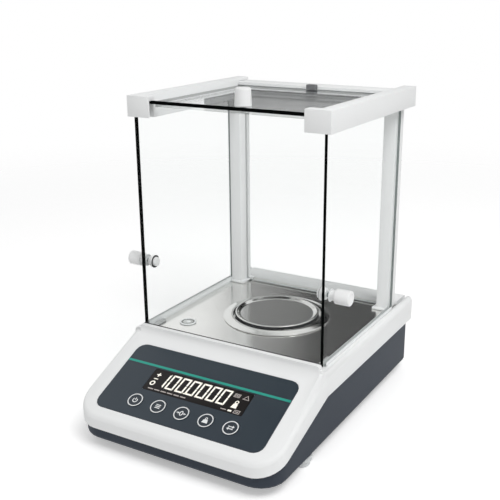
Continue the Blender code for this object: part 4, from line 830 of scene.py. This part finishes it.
# Sizes of the figures, then boxes as (x, rise, width, height) and outlines as (x, rise) points
displayLook = {
    "ink": 0.00003, "lean": 0.098, "digitWidth": 0.0085, "digitHeight": 0.0162, "stroke": 0.0017,
    "cut": 0.00014, "waist": 0.00025, "pitch": 0.01047, "firstDigit": -0.0363, "digitRise": 0.0047,
    "point": 0.0012, "pointShift": 0.0004,
    "signX": -0.0441, "signSize": 0.0042, "signStroke": 0.0012, "plusRise": 0.0090, "minusRise": 0.0042,
    "circleRise": -0.0008, "circle": 0.0020, "litBox": (0.0392, -0.0068, 0.0036, 0.0017),
    "weight": [(0.0376, -0.0034), (0.0430, -0.0034), (0.0422, 0.0012), (0.0384, 0.0012)],
    "eyeSpot": (0.0403, 0.0029), "eye": 0.0014, "eyeStroke": 0.0008, "thin": 0.0006,
    "meter": (0.0364, 0.0094, 0.0058, 0.0038), "meterBar": (0.0008, 0.0020), "meterPitch": 0.0015,
    "arrow": [(0.0428, 0.0076), (0.0482, 0.0076), (0.0455, 0.0116)],
    "tray": (0.0458, -0.0064, 0.0056, 0.0036),
    "dimBoxes": [(0.0458, -0.0064, 0.0030, 0.0008), (0.0330, -0.0068, 0.0052, 0.0008)],
    "dashX": -0.0428, "dashRise": -0.0068, "dashLift": 0.00003,
    "dashes": {"Count": 6, "Pitch": 0.0068, "Length": 0.0054, "Width": 0.0010, "Height": 0.00006},
}
segmentSets = {"0": "abcdef", "1": "bc"}
reading = "100.0000"


# Lit bars of one figure, mitred where they meet, with a hair of dark between them
def digitBars(figure, x, rise):
    look = displayLook
    half, tall = look["digitWidth"] / 2, look["digitHeight"] / 2
    stroke, cut, waist = look["stroke"], look["cut"], look["waist"]
    top = [(-half + cut, tall), (half - cut, tall)]
    top += [(half - stroke - cut, tall - stroke), (-half + stroke + cut, tall - stroke)]
    side = [(half, tall - cut), (half - stroke, tall - stroke - cut), (half - stroke, waist), (half, waist)]
    spots = {
        "a": top, "d": [(px, -py) for px, py in top],
        "b": side, "c": [(px, -py) for px, py in side],
        "f": [(-px, py) for px, py in side], "e": [(-px, -py) for px, py in side],
    }
    return [[(x + px, rise + py) for px, py in spots[key]] for key in segmentSets[figure]]


def leaning(shapes, rise):
    return [[(x + displayLook["lean"] * (y - rise), y) for x, y in shape] for shape in shapes]


def loopBox(x, rise, width, height, stroke):
    return inkLine(inkBox(x, rise, width - stroke, height - stroke), stroke, closed=True)


def loopCircle(spot, radius, steps, stroke):
    return inkLine(arcPoints(spot, radius, 0, 360, steps)[:-1], stroke, closed=True)


def makeDisplay():
    look = displayLook
    rise = look["digitRise"]
    figures, column = [], 0
    for figure in reading:
        x = look["firstDigit"] + look["pitch"] * column
        if figure == ".":
            low = rise - look["digitHeight"] / 2 + look["point"] / 2
            figures.append(inkBox(x - look["pitch"] / 2 + look["pointShift"], low, look["point"], look["point"]))
            continue
        figures += digitBars(figure, x, rise)
        column += 1
    # plus, minus and circle at the left, a weight with its lifting eye at the right
    x, plus, size, stroke = look["signX"], look["plusRise"], look["signSize"], look["signStroke"]
    arm = (size - stroke) / 2
    signs = [inkBox(x, plus, size, stroke), inkBox(x, look["minusRise"], size, stroke * 0.85)]
    signs += [inkBox(x, plus + turn * (arm + stroke) / 2, stroke, arm) for turn in (1, -1)]
    signs += loopCircle((x, look["circleRise"]), look["circle"], 28, stroke)
    signs += [inkBox(*look["litBox"]), look["weight"]]
    signs += loopCircle(look["eyeSpot"], look["eye"], 18, look["eyeStroke"])
    middle, level = look["meter"][:2]
    marks = loopBox(*look["meter"], look["thin"])
    marks += [inkBox(middle + look["meterPitch"] * i, level, *look["meterBar"]) for i in (-1, 0, 1)]
    marks += inkLine(look["arrow"], look["thin"], closed=True)
    marks += loopBox(*look["tray"], look["thin"])
    marks += [inkBox(*box) for box in look["dimBoxes"]]
    face = faceLevel("display_window")
    drawn = {"figures": (figures, "litSegment"), "signs": (signs, "litSegment"), "marks": (marks, "dimSegment")}
    for name, (shapes, finish) in drawn.items():
        mesh = inkMesh("display_" + name, leaning(shapes, rise), face + hair, look["ink"], finish)
        place(mesh, "base", "display_dark")
    dashes = grown("display_dashes", look["dashes"], dashRow, "dimSegment")
    onPanel(dashes, look["dashX"], look["dashRise"], face + look["dashLift"])
    place(dashes, "base", "display_dark")
    print("display lit:", reading)


# Repeated shapes grow in Geometry Nodes and come back as plain meshes
def grown(name, sizes, layout, finish):
    tree = bpy.data.node_groups.new(name, "GeometryNodeTree")
    sockets = {}
    for label, value in sizes.items():
        kind = "NodeSocketInt" if isinstance(value, int) else "NodeSocketFloat"
        sockets[label] = tree.interface.new_socket(label, in_out="INPUT", socket_type=kind)
    tree.interface.new_socket("Geometry", in_out="OUTPUT", socket_type="NodeSocketGeometry")
    graph = Graph(tree)
    size = {label: graph.add("NodeGroupInput", out=label) for label in sizes}
    real = graph.add("GeometryNodeRealizeInstances", None, {"Geometry": layout(graph, size)})
    painted = graph.add("GeometryNodeSetMaterial", None, {"Geometry": real, "Material": finishes[finish]})
    graph.add("NodeGroupOutput", None, {"Geometry": painted})
    holder = bpy.data.objects.new(name + "_holder", bpy.data.meshes.new(name + "_holder"))
    scene.collection.objects.link(holder)
    modifier = holder.modifiers.new("grow", "NODES")
    modifier.node_group = tree
    for label, socket in sockets.items():
        modifier[socket.identifier] = sizes[label]
    evaluated = holder.evaluated_get(bpy.context.evaluated_depsgraph_get())
    mesh = bpy.data.meshes.new_from_object(evaluated)
    mesh.name = name
    holder.modifiers.remove(modifier)
    bpy.data.objects.remove(holder)
    return mesh


def raisedRing(graph, size):
    circle = graph.add("GeometryNodeCurvePrimitiveCircle", None, {"Resolution": 64, "Radius": size["Radius"]})
    sides = {"Width": size["Line"], "Height": size["Height"]}
    line = graph.add("GeometryNodeCurvePrimitiveQuadrilateral", {"mode": "RECTANGLE"}, sides)
    return graph.add("GeometryNodeCurveToMesh", None, {"Curve": circle, "Profile Curve": line})


def inRow(graph, size, block):
    offset = graph.add("ShaderNodeCombineXYZ", None, {"X": size["Pitch"]})
    line = graph.add("GeometryNodeMeshLine", {"mode": "OFFSET"}, {"Count": size["Count"], "Offset": offset})
    return graph.add("GeometryNodeInstanceOnPoints", None, {"Points": line, "Instance": block})


def dashRow(graph, size):
    block = graph.add("ShaderNodeCombineXYZ", None, {"X": size["Length"], "Y": size["Width"], "Z": size["Height"]})
    return inRow(graph, size, graph.add("GeometryNodeMeshCube", None, {"Size": block}))


def pinRow(graph, size):
    pin = {"Vertices": 12, "Radius": size["Radius"], "Depth": size["Length"]}
    return inRow(graph, size, graph.add("GeometryNodeMeshCylinder", None, pin))


def gripRibs(graph, size):
    points = graph.add("GeometryNodeMeshCircle", None, {"Vertices": size["Count"], "Radius": size["Reach"]})
    rib = {"Vertices": 10, "Radius": size["Rib"], "Depth": size["Height"]}
    rib = graph.add("GeometryNodeMeshCylinder", None, rib)
    return graph.add("GeometryNodeInstanceOnPoints", None, {"Points": points, "Instance": rib})


panelTurn = Matrix((Vector((1.0, 0.0, 0.0)), panelUp, panelNormal)).transposed()


def onPanel(mesh, x, rise, level):
    mesh.transform(Matrix.Translation(panelPoint(x, rise, level)) @ panelTurn.to_4x4())
    return mesh


keyLook = {"ring": 0.0064, "line": 0.0009, "height": 0.00012, "stroke": 0.0008, "ink": 0.00004, "faceDepth": 0.0001}


# Signs of the keys, drawn about each key's middle
def powerSign(stroke):
    shapes = inkLine(arcPoints((0.0, -0.0002), 0.0021, 128, 412, 24), stroke)
    return shapes + inkLine([(0.0, 0.0001), (0.0, 0.0025)], stroke)


def menuSign(stroke):
    shapes = []
    for row in (-1, 0, 1):
        shapes += inkLine([(-0.0024, row * 0.0016), (0.0024, row * 0.0016)], stroke)
    return shapes


def zeroSign(stroke):
    oval = [(x * 0.62, y) for x, y in arcPoints((0.0, 0.0), 0.0021, 0, 360, 24)[:-1]]
    shapes = inkLine(oval, stroke, closed=True)
    for side in (-1, 1):
        shapes += inkLine([(side * 0.0046, 0.0), (side * 0.0024, 0.0)], stroke * 0.8)
        head = [(side * 0.0032, 0.0008), (side * 0.0022, 0.0), (side * 0.0032, -0.0008)]
        shapes += inkLine(head, stroke * 0.8)
    return shapes


def weightSign(stroke):
    shapes = [[(-0.0028, -0.0026), (0.0028, -0.0026), (0.0019, 0.0008), (-0.0019, 0.0008)]]
    return shapes + inkLine(arcPoints((0.0, 0.0018), 0.0010, 0, 360, 16)[:-1], stroke * 0.8, closed=True)


def swapSign(stroke):
    shapes = []
    for side in (-1, 1):
        y = side * 0.0011
        shapes += inkLine([(-side * 0.0027, y), (side * 0.0027, y)], stroke)
        shapes += inkLine([(side * 0.0014, y + 0.0011), (side * 0.0027, y), (side * 0.0014, y - 0.0011)], stroke)
    return shapes


keySigns = {"power": powerSign, "menu": menuSign, "tare": zeroSign, "cal": weightSign, "unit": swapSign}


def makeKeySigns():
    look = keyLook
    sizes = {"Radius": look["ring"], "Line": look["line"], "Height": look["height"]}
    for key, sign in keySigns.items():
        node = key + "_key"
        x = measured(node)[2].x
        # the key's middle is read from the points of its top face
        top = faceLevel(node)
        disc = [v.co for v in nodes[node].data.vertices if panelNormal.dot(v.co) > top - look["faceDepth"]]
        rise = sum(panelUp.dot(co) for co in disc) / len(disc) - panelRise
        ring = onPanel(grown(node + "_ring", sizes, raisedRing, "inkWhite"), x, rise, top + look["height"] / 2)
        place(ring, bodyOf(node), "key_film")
        shapes = [[(x + a, rise + b) for a, b in shape] for shape in sign(look["stroke"])]
        place(inkMesh(node + "_sign", shapes, top + hair, look["ink"], "inkWhite"), bodyOf(node), "key_film")
    print("key signs:", len(keySigns))


footLook = {
    "padFoot": 0.0012, "padEdge": 0.0010, "padTop": 0.0006,
    "ribs": 28, "rib": 0.00075, "ribEnd": 0.0004, "boreFit": 0.0002, "boreFloor": 0.0003,
    "rearFoot": 0.0016, "rearEdge": 0.0022, "rearTop": 0.0008, "rearGap": 0.0003, "rearPeg": 0.0025,
}


# Levelling feet: a pale pad, and a pale wheel whose rim is ribbed for the fingers
def makeFeet():
    for prefix in ("left", "right"):
        makePad(prefix)
        makeWheel(prefix)
        makeRearFoot(prefix)
    print("feet made")


def makePad(prefix):
    look = footLook
    low, high, middle = measured(prefix + "_foot_pad")
    radius = (high.x - low.x) / 2
    points = [
        (0.0, low.z, 0.0), (radius - look["padFoot"], low.z, 0.0004), (radius, low.z + look["padEdge"], 0.0006),
        (radius - look["padTop"], high.z, 0.0008), (0.0, high.z, 0.0),
    ]
    pad = dict(finish="footPale", slot="dark_rubber", body=prefix + "_foot")
    makeTurned(prefix + "_foot_base", points, (middle.x, middle.y, 0.0), pad, [prefix + "_foot_pad"])


def makeWheel(prefix):
    look = footLook
    low, high, middle = measured(prefix + "_foot_wheel")
    studLow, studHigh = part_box(prefix + "_foot_stud")
    bore = (studHigh.x - studLow.x) / 2 + look["boreFit"]
    floor = studLow.z - look["boreFloor"]
    radius = (high.x - low.x) / 2 - look["rib"]
    points = [
        (0.0, low.z, 0.0), (radius, low.z, 0.0004), (radius, high.z, 0.0004),
        (bore, high.z, 0.0002), (bore, floor, 0.0), (0.0, floor, 0.0),
    ]
    wheel = dict(finish="footPale", slot="foot_white", body=prefix + "_thumbwheel")
    makeTurned(prefix + "_foot_disc", points, (middle.x, middle.y, 0.0), wheel, [prefix + "_foot_wheel"])
    height = high.z - low.z - 2 * look["ribEnd"]
    sizes = {"Count": look["ribs"], "Reach": radius, "Rib": look["rib"], "Height": height}
    ribs = grown(prefix + "_foot_ribs", sizes, gripRibs, "footPale")
    ribs.transform(Matrix.Translation(middle))
    place(ribs, wheel["body"], "foot_white")


def makeRearFoot(prefix):
    look = footLook
    low, high, middle = measured(prefix + "_rear_foot")
    radius = (high.x - low.x) / 2
    top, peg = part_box("lower_casing")[0].z - look["rearGap"], look["rearPeg"]
    points = [
        (0.0, 0.0, 0.0), (radius - look["rearFoot"], 0.0, 0.0006), (radius, look["rearEdge"], 0.0012),
        (radius - look["rearTop"], top, 0.0010), (peg, top, 0.0003), (peg, high.z, 0.0004), (0.0, high.z, 0.0),
    ]
    rubber = dict(finish="darkRubber", slot="dark_rubber", body="base")
    makeTurned(prefix + "_rear_foot_rubber", points, (middle.x, middle.y, 0.0), rubber, [prefix + "_rear_foot"])


portLook = {"pitch": 0.00277, "rowGap": 0.00284, "pin": 0.0005, "pinLength": 0.0050, "pinRoot": 0.0095}


# Serial socket: two rows of pins
def makePortPins():
    look = portLook
    high, middle = measured("serial_port")[1:]
    along = high.y - look["pinRoot"] + look["pinLength"] / 2
    turn = Matrix.Rotation(math.radians(90.0), 4, "X")
    for row, count in ((1, 5), (-1, 4)):
        sizes = {"Count": count, "Pitch": look["pitch"], "Radius": look["pin"], "Length": look["pinLength"]}
        pins = grown("port_pins_%d" % count, sizes, pinRow, "brass")
        spot = (middle.x - look["pitch"] * (count - 1) / 2, along, middle.z + row * look["rowGap"] / 2)
        pins.transform(Matrix.Translation(spot) @ turn)
        place(pins, "base", "brass")
    print("port pins made")


# Nodes that show as they are, by finish
plainNodes = {
    "floorSteel": ["floor_plate"],
    "displayDark": ["display_window"],
    "blackPlastic": ["display_module", "dc_inlet"],
    "boardGreen": ["keypad_board", "main_board"],
    "castAluminium": ["force_cell", "cell_bracket"],
    "whiteFrame": ["display_ribbon"],
    "brass": ["left_foot_nut", "right_foot_nut"],
    "brightSteel": [
        "serial_port", "pan_stem", "left_foot_stud", "right_foot_stud", "left_post_screw", "right_post_screw",
        "front_left_casing_screw", "front_right_casing_screw", "rear_left_casing_screw", "rear_right_casing_screw",
    ],
    "keyFilm": [key + "_key" for key in keySigns],
}


def dressNodes():
    for finish, names in plainNodes.items():
        for node in names:
            for materialSlot in nodes[node].material_slots:
                materialSlot.material = finishes[finish]
    print("nodes dressed:", sum(len(names) for names in plainNodes.values()))


makeRoundedNodes()
makePanes()
makeFrontSeal()
makeDoorGlides()
makeSideKnobs()
makeTopKnob()
makePanAndRing()
makeLevel()
makePanelPrint()
makeDisplay()
makeKeySigns()
makeFeet()
makePortPins()
dressNodes()


# Studio: a pale floor that fades out, an even white room, a soft lamp from the upper right and a faint one in front
studio = {
    "ambient": 0.56, "floorTone": tint(240, 240, 240), "floorGlow": 0.34, "floorReach": 1.6, "floorDrop": 0.0002,
    "fadeFrom": 0.35, "fadeTo": 0.95, "aim": (0.0, 0.0, 0.13),
}
lamps = {
    "key_lamp": {"spot": (0.76, -0.42, 1.42), "size": 0.9, "power": 12.5},
    "fill_lamp": {"spot": (-0.35, -1.35, 0.80), "size": 0.9, "power": 0.4},
}

# Boards that only mirrors see: tones by place, so that steel and glass have dark tones to mirror
boards = {
    "rear": {
        "corners": [(-2.60, 3.0, 0.40), (2.60, 3.0, 0.40), (2.60, 3.0, 2.60), (-2.60, 3.0, 2.60)],
        "from": -2.40, "to": -1.20, "split": 1.02, "lowEdge": -2.08, "lowTone": 0.10,
        "tones": [
            (0.0, 1.0), (0.27, 1.0), (0.36, 0.82), (0.43, 0.32), (0.68, 0.22), (0.77, 0.04), (0.84, 0.0), (1.0, 0.0),
        ],
    },
    "over": {
        "corners": [(-1.10, -0.70, 1.25), (0.80, -0.70, 1.25), (0.80, 0.75, 1.25), (-1.10, 0.75, 1.25)],
        "from": -1.10, "to": -0.45, "split": -1.0, "lowEdge": 0.0, "lowTone": 0.0,
        "tones": [(0.0, 1.0), (1.0, 0.02)],
    },
}


def grey(tone):
    return (tone, tone, tone, 1.0)


def addLamps():
    for name, look in lamps.items():
        lamp = bpy.data.lights.new(name, "AREA")
        lamp.shape = "DISK"
        lamp.size = look["size"]
        lamp.energy = look["power"]
        holder = bpy.data.objects.new(name, lamp)
        turn = (Vector(look["spot"]) - Vector(studio["aim"])).to_track_quat("Z", "Y")
        holder.matrix_world = Matrix.Translation(look["spot"]) @ turn.to_matrix().to_4x4()
        scene.collection.objects.link(holder)


def makeWorld():
    world = bpy.data.worlds.new("studio")
    world.use_nodes = True
    scene.world = world
    graph = Graph(world.node_tree)
    seen = graph.add("ShaderNodeMath", {"operation": "MINIMUM"}, {0: seenRays(graph), 1: 1.0})
    strength = studio["ambient"] + (1.0 - studio["ambient"]) * seen
    glow = graph.add("ShaderNodeBackground", None, {"Color": white, "Strength": strength})
    graph.add("ShaderNodeOutputWorld", None, {"Surface": glow})


def makeStage(name, points, material):
    mesh = bpy.data.meshes.new(name)
    mesh.from_pydata(points, [], [list(range(len(points)))])
    mesh.materials.append(material)
    sheet = bpy.data.objects.new(name, mesh)
    scene.collection.objects.link(sheet)
    return sheet


def makeFloor():
    look = studio
    reach, steps = look["floorReach"], 64
    material, graph = newFinish("studioFloor")
    fade = graph.add("ShaderNodeMapRange", {"interpolation_type": "SMOOTHSTEP"}, {
        "Value": reachOf(graph, objectPoint(graph)),
        "From Min": reach * look["fadeFrom"], "From Max": reach * look["fadeTo"]})
    paper = graph.add("ShaderNodeBsdfPrincipled", None, {
        "Base Color": look["floorTone"], "Roughness": 0.9, "Specular IOR Level": 0.0,
        "Emission Color": blend(graph, seenRays(graph), black, white), "Emission Strength": look["floorGlow"]})
    clear = graph.add("ShaderNodeBsdfTransparent", None, {"Color": white})
    shownBy(graph, graph.add("ShaderNodeMixShader", None, {0: fade, 1: paper, 2: clear}))
    rim = []
    for i in range(steps):
        angle = 2.0 * math.pi * i / steps
        rim.append((reach * math.cos(angle), reach * math.sin(angle), -look["floorDrop"]))
    makeStage("studio_floor", rim, material)


def makeBoards():
    for name, look in boards.items():
        material, graph = newFinish(name + "Board")
        point = objectPoint(graph)
        x, z = axisOf(graph, point, "X"), axisOf(graph, point, "Z")
        share = (x - look["from"]) / (look["to"] - look["from"])
        stops = [(spot, grey(tone)) for spot, tone in look["tones"]]
        upper = graph.add("ShaderNodeValToRGB", {"stops": stops}, {"Fac": share})
        past = graph.add("ShaderNodeMath", {"operation": "GREATER_THAN"}, {0: x, 1: look["lowEdge"]})
        lower = blend(graph, past, white, grey(look["lowTone"]))
        above = graph.add("ShaderNodeMath", {"operation": "GREATER_THAN"}, {0: z, 1: look["split"]})
        glow = graph.add("ShaderNodeEmission", None, {"Color": blend(graph, above, lower, upper), "Strength": 1.0})
        shownBy(graph, glow)
        board = makeStage(name + "_board", look["corners"], material)
        board.visible_camera = False
        board.visible_diffuse = False
        board.visible_transmission = False
        board.visible_shadow = False


cameraLook = {
    "spot": (0.36429, -0.61942, 0.37997), "azimuth": 29.845, "elevation": 18.513, "roll": -0.16,
    "lens": 59.33, "sensor": 36.0, "shift": (-0.0313, 0.0251), "nearest": 0.01,
}


def makeCamera():
    look = cameraLook
    azimuth, elevation, roll = [math.radians(look[angle]) for angle in ("azimuth", "elevation", "roll")]
    level = Vector((math.cos(azimuth), math.sin(azimuth), 0.0))
    ahead = Vector((-math.sin(azimuth), math.cos(azimuth), 0.0))
    back = Vector((0.0, 0.0, math.sin(elevation))) - ahead * math.cos(elevation)
    up = back.cross(level)
    right = level * math.cos(roll) + up * math.sin(roll)
    top = up * math.cos(roll) - level * math.sin(roll)
    lens = bpy.data.cameras.new("photo_camera")
    lens.sensor_width = look["sensor"]
    lens.lens = look["lens"]
    lens.shift_x, lens.shift_y = look["shift"]
    lens.clip_start = look["nearest"]
    camera = bpy.data.objects.new("photo_camera", lens)
    camera.matrix_world = Matrix.Translation(look["spot"]) @ Matrix((right, top, back)).transposed().to_4x4()
    scene.collection.objects.link(camera)
    scene.camera = camera


makeWorld()
makeFloor()
makeBoards()
addLamps()
makeCamera()
scene.view_settings.view_transform = "Standard"
print("studio ready")
